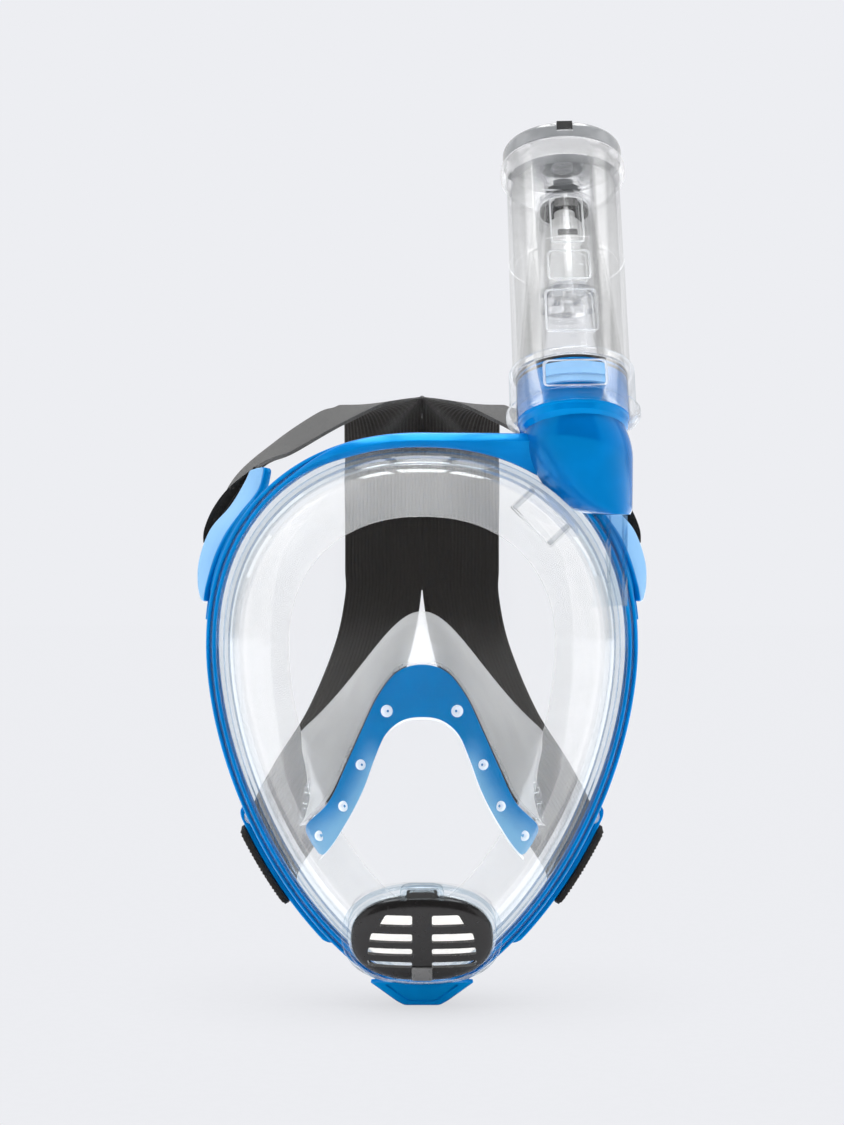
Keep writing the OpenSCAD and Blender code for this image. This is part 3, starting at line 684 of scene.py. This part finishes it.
def studs():
    """Clear domed studs along both legs of the arch, all in one piece."""
    whole = []
    for x, z, r in ((14.1, 121.2, 2.6), (24.6, 99.4, 2.3), (31.7, 82.4, 2.3), (41.5, 69.8, 2.3)):
        for s in (-1, 1):
            y = float(inside_y(x, z))
            p = [(0.01, 0.75), (r * 0.3, 0.72), (r * 0.42, 0.2), (r * 0.6, 0.06),
                 (r * 0.88, 0.32), (r, 0.95), (r * 0.6, 1.0), (r * 0.6, 2.9), (r, 3.0),
                 (r * 0.9, 4.0), (r * 0.3, 4.1), (0.01, 3.4)]
            q = fillet(p, 0.25, 3)
            whole.append(lathe(q, (turn("X", -90), np.array([s * x, y, z])), 32))
    points, faces = [], []
    for loops in whole:
        v, f = skin(loops, ring=True)
        faces += [[i + len(points) for i in face] for face in f]
        points += v.tolist()
    o = build("pocket_studs_domed", points, faces, STUD)
    return finish_piece(o, "mask", "clear_plastic", "pocket_studs")


# ---- chin valve -------------------------------------------------------------------------
def chin_cover():
    """Domed black grille with four slots on each side, its tongue and its foot tab."""
    w, h = VALVE_W, VALVE_H
    top = [(0.985, 0.2), (1, 0.9), (1, 2.4), (0.985, 3.2), (0.955, 3.9), (0.92, 4.5), (0.86, 5.15),
           (0.78, 5.7), (0.66, 6.3), (0.5, 6.8), (0.3, 7.1), (0.08, 7.2)]
    low = [(f, max(0.2, z - 1.8)) for f, z in top]
    loops = [flat_loop(oval(w * f, h * f), z) for f, z in top[::-1]]
    loops += [flat_loop(oval((w - 4) * f, (h - 4) * f), z) for f, z in low]
    o = build("chin_grille", *skin(place(np.array(loops), VALVE)), BLACK, sharp=50)
    holes, bar = [], 3.95
    for s in (-1, 1):
        for y, tall, end, taper in ((9.6, 4.6, 17.2, 2.6), (2.2, 3.9, 21.2, 1.0),
                                    (-3.9, 3.2, 21.8, 0.3), (-9.7, 2.7, 21.4, -0.8)):
            p = fillet([(bar, y - tall / 2), (end, y - tall / 2), (end - taper, y + tall / 2),
                        (bar, y + tall / 2)], 0.9, 5)
            holes.append(cutter(p * (s, 1), -2, 14, VALVE))
    cut(o, *holes)
    finish_piece(o, "chin_cover", "black_plastic", "purge_cover")
    outline = slab(-6.2, 6.2, h / 2 - 2.2, h / 2 + 2.2, 1.2)
    tongue = prism("cover_tongue", outline, 0.5, 3.4, VALVE, BLACK)
    finish_piece(tongue, "chin_cover", "black_plastic")
    outline = slab(-4.2, 4.2, -16.6, -10.6, 0.9)
    tab = prism("cover_foot_tab", outline, 4.2, 7.4, VALVE, SMOKE_TAB, 0.6)
    finish_piece(tab, "chin_cover", "black_plastic")


def housing():
    """Clear seat round the grille, and the small bridge over its tongue."""
    w, h = VALVE_W, VALVE_H
    ring = [(w + 3.0, h + 3.0, -6.8), (w + 3.0, h + 3.0, -1.4), (w + 7.5, h + 6.5, -1.2),
            (w + 7.6, h + 6.6, 0.4), (w + 6.8, h + 5.8, 1.0), (w + 3.4, h + 3.2, 1.2),
            (w + 3.0, h + 2.9, 3.2), (w + 2.2, h + 2.2, 3.7), (w + 0.8, h + 0.8, 3.5),
            (w + 0.4, h + 0.4, 3.0), (w + 0.3, h + 0.3, 0.0), (w - 7, h - 7, 0.0),
            (w - 7, h - 7, -6.8)]
    loops = place(np.array([flat_loop(oval(a, b), z) for a, b, z in ring]), VALVE)
    o = build("chin_housing", *skin(loops, ring=True), CLEAR_WALL,
              flow=loops_flow(loops), sharp=40)
    cut(o, cutter(slab(-6.6, 6.6, h / 2 - 3, h / 2 + 2.4, 0.3), 0.02, 9, VALVE))
    finish_piece(o, "mask", "clear_plastic", "purge_housing")
    arch = []
    for a in np.linspace(0, 180, 25):
        c, s = spow(math.cos(math.radians(a)), 0.5), spow(math.sin(math.radians(a)), 0.5)
        x, y = 7.7 * c, h / 2 - 1.0 + 4.6 * s
        arch.append([(x + p * c, y + p * s, q) for p, q in slab(-1.15, 1.15, -0.8, 4.4, 0.7, 4)])
    o = build("tongue_bridge", *skin(place(np.array(arch), VALVE)), CLEAR_WALL,
              flow=loops_flow(np.array(arch)))
    finish_piece(o, "mask", "clear_plastic")


# ---- elbow and snorkel ------------------------------------------------------------------
def elbow_loops():
    """Flared base on the mask that turns into the tilted round seat of the snorkel."""
    lean, reach = TUBE_R * math.sin(math.radians(TILT)), TUBE_R * math.cos(math.radians(TILT))
    seat_x, seat_y, seat_z = SNORKEL[1]
    low = 201
    a = np.radians(np.arange(0, 360, 3.0))
    loops = []
    for f in np.linspace(0, 1, 48):
        g = 1 - f
        soft = 0.9 * max(0.0, 1 - f * 14) ** 2 + 0.5 * max(0.0, 1 - g * 30) ** 2
        z = low + (seat_z - low) * f
        left, right = 39.6 + 23 * g ** 2.05 + 8 * g ** 20 + soft, seat_x + TUBE_R - soft
        front = seat_y - reach + 11 * g ** 2.2 + soft
        back = seat_y + reach - 6 * g
        k = 1 - 0.2 * max(0.0, (f - 0.6) / 0.4) ** 2
        loops.append(np.stack([(right + left) / 2 + (right - left) / 2 * k * np.cos(a),
                               (front + back) / 2 + (back - front) / 2 * k * np.sin(a),
                               z - f * lean * np.sin(a)], -1))
    return np.array(loops)


def body_envelope():
    """Everything behind the lens and the rim, to trim the elbow's base with."""
    t = np.arange(0, 360, 3.0)
    steps = [0.2, 0.45, 0.62, 0.74, 0.83, 0.9, 0.935, 0.96, 0.98, 0.992, 1]
    loops = [lens_loop(t, s, 7.65, -2.2, 28.2) for s in steps]
    loops += [at_rim(t, d, y) for d, y in ((7.6, -5.6), (-0.2, -5.6), (-0.2, 6.6), (-7, 7),
                                           (-7, 70), (60, 70))]
    return build("cutter", *skin(np.array(loops)), sharp=180)


def elbow():
    """Blue socket, the spigot that the collar slides over, and its lip seal."""
    o = build("elbow_socket", *skin(elbow_loops()), ELBOW, sharp=40)
    cut(o, body_envelope())
    finish_piece(o, "mask", "blue_plastic", "snorkel_socket")
    p = [(19.4, -6), (19.4, 20.6), (22.8, 20.6), (23.3, 20.0), (23.3, 7.2), (22.9, 7.0),
         (22.9, 6.2), (23.3, 6.0), (23.3, 0.8), (22.9, 0.2), (22.6, -2.4), (20.5, -4)]
    finish_piece(turned("elbow_spigot", p, SNORKEL, BLUE_CLIP, 0.2, 3), "mask", "blue_plastic")
    p = [(21.8, 20.6), (23.3, 20.4), (23.5, 21.0), (23.3, 21.5), (21.8, 21.4)]
    finish_piece(turned("spigot_lip_seal", p, SNORKEL, RUBBER, 0.2, 3), "mask", "black_rubber")


def cone_radius(z):
    """Radius of the inner cone at a height along the snorkel."""
    f = np.clip((z - CONE_LOW) / (CONE_TOP - CONE_LOW), 0, 1)
    return 21.8 - 9.0 * f ** 1.15


def moulding(name, mid, wide, tall, radius, corner, section):
    """Raised frame with rounded corners, wrapped round the front of the snorkel."""
    line = []
    for x, z in slab(-wide / 2, wide / 2, mid - tall / 2, mid + tall / 2, *corner):
        r = radius(z)
        a = x / r
        out = np.array([math.sin(a), -math.cos(a), 0])
        at = out * r + (0, 0, z)
        side = unit(np.array([at[0], 0, z - mid]))
        line.append([at + side * e + out * d for e, d in section])
    o = build(name, *skin(place(np.array(line), SNORKEL), ring=True), WHITE_CLEAR)
    return finish_piece(o, "snorkel", "clear_plastic")


def pad(name, z0, z1, half_angle, thick, mat):
    """Thin curved plate on the front of the inner cone."""
    angles = np.radians(np.linspace(-half_angle, half_angle, 16))
    loops = []
    for z in np.linspace(z0, z1, 10):
        r, low = cone_radius(z) + thick, cone_radius(z) - 0.1
        loops.append([(r * math.sin(a), -r * math.cos(a), z) for a in angles]
                     + [(low * math.sin(a), -low * math.cos(a), z) for a in angles[::-1]])
    o = build(name, *skin(place(loops, SNORKEL)), mat)
    return finish_piece(o, "snorkel", "clear_plastic")


def inlet_box():
    """Clear passage below the port: long thin sides and frosted end walls."""
    where = (turn("Y", 46) @ turn("X", 90), np.array([49.5, 6.6, 200]))
    outer, inner = slab(-11.9, 11.9, -6.3, 6.3, 0.8), slab(-10.9, 10.9, -5.2, 5.2, 0.5)
    loops = np.array([flat_loop(outer, -3.9), flat_loop(outer, 3.9), flat_loop(inner, 3.9),
                      flat_loop(inner, -3.9)])
    o = build("inlet_passage", *skin(place(loops, where), ring=True), BOX, flow=loops_flow(loops))
    finish_piece(o, "mask", "clear_plastic", "air_inlet")
    for name, a, b in (("inlet_end_low", 9.2, 11.4), ("inlet_end_high", -11.4, -9.2)):
        end = prism(name, slab(a, b, -5.6, 5.6, 0.7), -3.6, 3.2, where, PLAIN_WALL, 0.4)
        finish_piece(end, "mask", "clear_plastic")


def collar():
    """Clear ring over the spigot with a framed window at the front."""
    p = [(23.6, 1.2), (26.4, 1.2), (26.5, 1.9), (28.1, 2.3), (28.3, 3.3), (28.1, 5.0), (26.6, 5.5),
         (26.4, 7), (26.4, 22.9), (25.6, 24.3), (24.7, 24.5), (24.7, 21.6), (23.6, 21.6)]
    o = turned("collar_ring", p, SNORKEL, COLLAR, 0.4, 4)
    front = (SNORKEL[0] @ turn("Z", 180), SNORKEL[1])
    cut(o, cutter(slab(-12.4, 12.4, 10, 40, 0.2), 8, 17.2, front))
    finish_piece(o, "snorkel", "clear_plastic", "snorkel_collar")
    moulding("collar_window_lip", 12.6, 26.4, 11.2, lambda z: 26.5, (2.4, 8),
             slab(-0.5, 0.5, -0.3, 0.75, 0.3, 3))


def tube():
    """Clear tube with breathing slots under the cap, and its flange."""
    p = [(TUBE_R, 21.5), (TUBE_R, 70), (24.35, 73.6), (24.75, 74), (24.75, 74.8), (24.35, 75.2),
         (24.3, 113.6), (TUBE_R, 122), (24.4, 126), (22.5, 126), (22.4, 21.5)]
    o = turned("tube_shell", p, SNORKEL, CLEAR_TUBE, 0.4, 4)
    holes = []
    for a in range(-60, 241, 40):
        where = (SNORKEL[0] @ turn("Z", a), SNORKEL[1])
        holes.append(cutter(slab(15, 35, -4, 4, 0.2), 122.8, 126.5, where))
    cut(o, *holes)
    finish_piece(o, "snorkel", "clear_plastic", "snorkel_tube")
    p = [(TUBE_R, 113.7), (26.2, 114.4), (26.8, 115.6), (26.8, 120.4), (26.2, 121.6), (24.7, 121.9)]
    o = turned("tube_flange", p, SNORKEL, FLANGE, 0.6, 5)
    finish_piece(o, "snorkel", "clear_plastic")


def cone():
    """Inner cone with its moulded frames, rib and pads."""
    outer = [(cone_radius(z), z) for z in np.linspace(CONE_LOW, CONE_TOP, 40)]
    p = [(20.6, 23), (22.3, 23), (22.3, 25.6), *outer, (12.2, 103.6), (10.6, 104.8), (9.4, 104.4)]
    p += [(r - 1.3, z) for r, z in outer[-2::-1]]
    loops = lathe(np.array(p), SNORKEL)
    o = build("inner_cone", *skin(loops, ring=True), CLEAR_DUCT, flow=loops_flow(loops), sharp=45)
    finish_piece(o, "snorkel", "clear_plastic", "inner_duct")
    for part, mid, wide, tall in (("low", 44, 22, 20), ("mid", 66, 18, 14), ("top", 88, 14, 22)):
        moulding("cone_frame_" + part, mid, wide, tall, cone_radius, (2.2, 6),
                 slab(-0.45, 0.45, -0.3, 0.7, 0.25, 3))
    pad("cone_rib", 30, 102, 3.6, 0.9, CLEAR_DUCT)
    pad("cone_pad_top", 95, 99, 20, 0.6, SMOKE_TAB)
    pad("cone_pad_mid", 80.5, 83, 15, 0.6, SMOKE_TAB)


def cap():
    """Low dome with a notch in front; z is where it sits on the tube."""
    z = 122.2
    p = [(24.8, z), (25.5, z), (25.6, z + 1), (25.6, z + 5.2), (25.1, z + 6.6), (23.6, z + 7.6),
         (21.2, z + 8.3), (16, z + 9.0), (8, z + 9.3), (0.02, z + 9.4), (0.02, z + 6.6),
         (20.5, z + 5.0), (22.6, z + 4.2), (24.6, z + 3.9)]
    o = turned("cap_dome", p, SNORKEL, CAP, 0.5, 4)
    cut(o, cutter(slab(-3.4, 3.4, -34, -23, 0.3), z + 2.4, z + 12, SNORKEL))
    finish_piece(o, "snorkel", "smoke_plastic", "tube_cap")


# ---- clips and straps -------------------------------------------------------------------
# Both edges of each strip on the right side of the mask, as x, y and z.
WING_IN = [(91.4, 38, 164), (90, 38.5, 171.4), (86.2, 38.5, 183), (81.6, 38, 192),
           (75.6, 37, 200.6), (67.4, 36, 210.8), (64.6, 36, 222)]
WING_OUT = [(94.5, 43, 164.6), (96.2, 45, 171.4), (95.9, 46, 181.8), (91.2, 46, 194.9),
            (82.2, 45, 205.3), (76, 44, 215.6), (73.6, 43, 221)]
STRAP_IN = [(72, 47, 222), (66, 60, 226), (57.5, 75, 230), (43, 98, 240), (33.5, 110, 246),
            (18.8, 122, 253.8), (7, 128, 256.9), (0.6, 133, 258.2), (0.2, 151, 258.8),
            (0.2, 161, 249), (0.2, 163, 230), (0.2, 163, 200), (0.2, 163, 168), (6.7, 152, 133.5),
            (21.7, 120, 96), (41, 86, 65.3), (54, 58, 46.5), (53.5, 33, 41)]
STRAP_OUT = [(93, 52, 190), (84, 78, 217), (66, 103, 236), (49, 131, 250), (42, 146, 253.6),
             (38, 156, 255), (37, 161, 247), (36.9, 163, 232), (36.9, 163.5, 216),
             (36.9, 163.5, 203), (36.9, 163, 190), (36.9, 163, 177), (36.9, 162.5, 165),
             (41.3, 152, 142.5), (52.3, 120, 114), (65, 86, 92.7), (72.5, 60, 77.5), (72, 42, 69)]
FOLD_OUT = [(72, 49, 223), (83, 50, 214), (90, 50.5, 205), (94, 51, 196), (94.5, 52, 190)]
FOLD_IN = [(69, 50, 220), (75, 50, 210), (81, 50, 201), (86, 50.5, 193), (91, 52, 187)]


# Angles on the rim of the lower clip's ends, its pin and the ends of the strap's loop.
RAIL_ENDS, PIN, LOOP_ENDS = (-30.2, -59.5), -32.5, (-33.2, -48.2)


def side_name(s):
    return "right" if s > 0 else "left"


def ribbon(in_edge, out_edge, sec, wide, u):
    """Section laid across the strip between two edge curves; sec spans wide in x."""
    a, b = through(in_edge, u), through(out_edge, u)
    mid, side = (a + b) / 2, b - a
    up = unit(np.cross(np.gradient(mid, axis=0), side))
    return mid[:, None] + side[:, None] * sec[None, :, :1] / wide - up[:, None] * sec[None, :, 1:]


def upper_clip(s):
    """Wing that holds the strap beside the snorkel, its outer part painted pale blue as a painted
    reflection, and its foot on the rim.
    """
    n = 60
    sec = fillet([(-5, -1.1), (5, -1.1), (5, 0.9), (3.4, 1.1), (-2.6, 1.1), (-3.4, 2.4),
                  (-4.4, 2.4), (-5, 1.4)], 0.5, 4)
    u = np.linspace(0, 1, n)
    loops = ribbon(WING_IN, WING_OUT, sec, 10, u)
    mid = loops.mean(1, keepdims=True)
    end = np.clip(np.minimum(u, 1 - u) / 0.05, 0, 1)
    loops = mid + (loops - mid) * (0.35 + 0.65 * np.sqrt(1 - (1 - end) ** 2))[:, None, None]
    loops = loops * (s, 1, 1)
    flow = loops_flow(loops)
    # painted reflection: weight for the pale blue, high over the outer part of the wing
    flow[:, 2] = np.tile(smooth(-3.2, -1.6, sec[:, 0]), n)
    name = side_name(s)
    o = build("upper_wing_" + name, *skin(loops), WING, flow=flow)
    finish_piece(o, "mask", "blue_plastic", "upper_clip_" + name)
    foot = rim_loops(slab(-1.4, 4.4, 6.8, 9.4, 0.5, 4), np.linspace(42, 6, 24))
    o = build("upper_foot_" + name, *skin(foot * (s, 1, 1)), BLUE_CLIP)
    finish_piece(o, "mask", "blue_plastic")


def lower_clip(s):
    """Rail behind the rim with tapered ends, and the clear head of its hinge pin."""
    name = side_name(s)
    top, low = RAIL_ENDS
    sec = fillet([(-3.6, 7.4), (-3.2, 6.9), (-1.2, 6.9), (-0.9, 7.6), (0.2, 7.6), (0.5, 6.9),
                  (2.2, 6.9), (1.8, 11.4), (-3.6, 11.4)], 0.4, 4)
    mid = np.array([-0.6, 9.2])
    loops = []
    for q in np.linspace(top, low, 60):
        near = 1 - min(1.0, (top - q) / 2.0)
        w = min(1.0, max(0.06, (q - low) / 2.0) ** 0.4, max(0.06, math.sqrt(1 - near ** 2)))
        loops.append([at_rim(np.array(q), *(mid + (p - mid) * w)) for p in sec])
    loops = np.array(loops) * (s, 1, 1)
    o = build("lower_rail_" + name, *skin(loops), BLUE_CLIP, flow=loops_flow(loops))
    finish_piece(o, "clip_" + name, "blue_plastic", "lower_clip_" + name)
    at = at_rim(np.array(PIN), 0.6, 6.0) * (s, 1, 1)
    p = [(0.01, 0), (1.6, 0.1), (2.4, 0.5), (2.7, 1.2), (2.7, 2.0), (0.01, 2.0)]
    loops = lathe(fillet(p, 0.3, 4), (turn("X", -90), at), 40)
    o = build("pin_head_" + name, *skin((loops - at) * (1, 1, 1.35) + at, ring=True), WHITE_CLEAR)
    finish_piece(o, "mask", "clear_plastic")


def band_section(w, t, ribs):
    """Closed section of the webbing: smooth outer face, ribbed inner face."""
    across = np.linspace(w / 2, -w / 2, STRAP_POINTS)
    top = [(x, t / 2 - 0.25 * abs(2 * x / w) ** 6) for x in across]
    low = []
    for x in np.linspace(-w / 2, w / 2, ribs * 6 + 1):
        low.append((x, -t / 2 + 0.32 * abs(math.cos(math.pi * ribs * (x / w + 0.5))) ** 1.5))
    return np.array(top + low)


def strap(s):
    """Webbing from the upper clip over the crown to the lower loop, and its folded end."""
    name = side_name(s)
    n = 170
    sec = band_section(STRAP_W, 2.0, 22)
    u = np.linspace(0, 1, n)
    loops = ribbon(STRAP_IN, STRAP_OUT, sec, STRAP_W, u) * (s, 1, 1)
    crown = smooth(0.3, 0.42, u) * smooth(0.6, 0.5, u)
    loops[:, :, 2] += 1.3 * crown[:, None] * (1 - (2 * sec[:, 0] / STRAP_W) ** 2)
    pick = np.tile(np.arange(len(sec)) < STRAP_POINTS, n - 1)
    o = build("strap_band_" + name, *skin(loops), WEB_IN, WEB_OUT, flow=loops_flow(loops),
              sharp=50, pick=np.concatenate([pick, [0, 0]]))
    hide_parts("strap_" + name)
    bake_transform(o)
    n = 110
    sec = np.array([(x, 2.4 - 3.4 * (x / 5) ** 2) for x in np.linspace(-5, 5, 17)]
                   + [(x, 1.0 - 3.4 * (x / 5) ** 2) for x in np.linspace(5, -5, 17)])
    loops = ribbon(FOLD_IN, FOLD_OUT, sec, 10, np.linspace(0, 1, n))
    loops[:, :17, 1] -= 0.22 * np.cos(np.arange(n) * 2.1)[:, None]
    loops = loops * (s, 1, 1)
    o = build("strap_fold_" + name, *skin(loops), WEB_IN, flow=loops_flow(loops), sharp=60)
    finish_piece(o, "mask", "webbing")


def strap_loop(s):
    """Webbing looped round the lower clip."""
    name = side_name(s)
    top, low = LOOP_ENDS
    sec = fillet([(-3.8, 11.5), (-3.8, 6.0), (-6.9, 6.0), (-6.9, 16), (2, 20), (2, 18),
                  (-3.8, 14)], 0.9, 4)
    mid = np.array([-4.4, 11.0])
    loops = []
    for q in np.linspace(top, low, 48):
        e = min(1.0, abs(q - top) / 1.6, abs(q - low) / 1.6)
        w = 0.3 + 0.7 * math.sqrt(1 - (1 - e) ** 2)
        rib = 0.3 * math.cos(q * 9)
        loops.append([at_rim(np.array(q), *(mid + (p - mid) * w + (rib if p[0] < -5 else 0, 0)))
                      for p in sec])
    loops = np.array(loops) * (s, 1, 1)
    o = build("loop_band_" + name, *skin(loops), WEB_IN, flow=loops_flow(loops))
    finish_piece(o, "clip_" + name, "webbing", "strap_loop_" + name)


def seam():
    """Tape that joins the two straps where their inner edges run down the back."""
    across = np.array([1.0, 0, 0])
    path = through(STRAP_IN, np.linspace(0.527, 0.706, 60)) * (0, 1, 1)
    run = unit(np.gradient(path, axis=0))
    path += np.stack([np.zeros(len(run)), -run[:, 2], run[:, 1]], -1) * 1.4
    up = unit(np.cross(run, across))
    sec = slab(-3.5, 3.5, -0.35, 0.35, 0.3, 4)
    loops = path[:, None] + across * sec[None, :, :1] + up[:, None] * sec[None, :, 1:]
    o = build("seam_tape", *skin(loops), WEB_IN, flow=loops_flow(loops))
    finish_piece(o, "mask", "webbing", "strap_seam")


front_rim()
chin_plate()
rear_rim()
lens()
skirt()
nose_pocket()
pocket_frame()
studs()
chin_cover()
housing()
elbow()
inlet_box()
collar()
tube()
cone()
cap()
for side in (-1, 1):
    upper_clip(side)
    lower_clip(side)
    strap(side)
    strap_loop(side)
seam()

# ---- CAD pieces that keep their shape ---------------------------------------------------
kept = {
    "inhale_seat_left": CLEAR, "inhale_seat_right": CLEAR,
    "inhale_valve_left": CLEAR, "inhale_valve_right": CLEAR,
    "purge_seat": FROST, "purge_membrane": VALVE_SHEET, "socket_seal": RUBBER,
    "release_latch": BLUE_PALE, "exhale_duct": CLEAR_WALL,
    "float_guide": CLEAR_DUCT, "float_body": FROST, "float_seal": RUBBER,
    "intake_seat": CLEAR_DUCT, "cap_catch": RUBBER, "clip_pins": WHITE_CLEAR,
}
for name, mat in kept.items():
    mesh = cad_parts[name].data
    mesh.materials.clear()
    mesh.materials.append(mat)

# ---- floor, light and camera ------------------------------------------------------------
world = bpy.data.worlds.new("studio")
bpy.context.scene.world = world
world.use_nodes = True
m = Nodes(world, "Generated")
x, y, z = m.n("SeparateXYZ", _0=m.where).outputs
from_middle, from_floor = m.math("ABSOLUTE", x), m.math("ABSOLUTE", z)
flat = m.math("SQRT", m.math("ADD", m.math("MULTIPLY", x, x), m.math("MULTIPLY", y, y)))
front = m.math("MULTIPLY", m.math("DIVIDE", y, m.math("MAXIMUM", flat, 0.001)), -1.0)
# a soft box on each side, two bars overhead and a weak wall behind, on top of even light
side_box = m.math("MULTIPLY", m.ramp(front, 0.74, 0.7), m.ramp(front, -0.45, -0.25))
side_box = m.math("MULTIPLY", side_box, m.ramp(from_floor, 0.62, 0.56))
top_box = m.math("MULTIPLY", m.ramp(z, 0.85, 0.89), m.ramp(from_middle, 0.5, 0.45))
bars = m.ramp(m.math("ABSOLUTE", m.math("SUBTRACT", from_middle, 0.2)), 0.02, 0.035)
back = m.ramp(y, 0.25, 0.6)
level = m.math("ADD", 0.26, m.math("MULTIPLY", side_box, 1.05))
level = m.math("ADD", level, m.math("MULTIPLY", m.math("MULTIPLY", top_box, bars), 8.0))
level = m.math("ADD", level, m.math("MULTIPLY", back, 0.45))
seen = m.n("LightPath").outputs["Is Camera Ray"]
studio = m.n("Background", Color=(1, 1, 1, 1), Strength=level).outputs[0]
plain = m.n("Background", Color=PALE, Strength=1.0).outputs[0]
m.n("OutputWorld", Surface=m.blend(seen, studio, plain))

m = new_nodes("pale_floor")
# for camera rays the floor shows a flat pale emission, darkened near the mask by ambient occlusion
# as a painted contact shadow
near = m.n("AmbientOcclusion", {"samples": 12}, Distance=0.09).outputs["AO"]
speck = m.ramp(m.noise(220, 3), 0.3, 0.7, 0.992, 1.0)
glow = m.math("MULTIPLY", m.ramp(near, 0.0, 1.0, 0.78, 1.0), speck)
shown = m.n("Emission", Color=PALE, Strength=glow).outputs[0]
lit = m.n("BsdfDiffuse", Color=(0.8, 0.8, 0.82, 1)).outputs[0]
floor_mat = m.done(m.blend(m.n("LightPath").outputs["Is Camera Ray"], lit, shown))
far, low = 6000, -0.6
corners = [(-far, -far, low), (far, -far, low), (far, far, low), (-far, far, low)]
build("floor", corners, [[0, 1, 2, 3]], floor_mat)

# the camera stands in front at the height of the photograph's middle
cam = bpy.data.cameras.new("camera")
cam.sensor_fit, cam.sensor_height, cam.lens = "VERTICAL", 36, 77.5
cam.clip_end = 50
cam_obj = bpy.data.objects.new("camera", cam)
cam_obj.location = (0, -1.0, 0.181)
cam_obj.rotation_euler = (math.radians(90), 0, 0)
bpy.context.scene.collection.objects.link(cam_obj)
bpy.context.scene.camera = cam_obj
bpy.context.scene.view_settings.view_transform = "Standard"
bpy.context.scene.cycles.transparent_max_bounces = 48
bpy.context.scene.cycles.max_bounces = 10
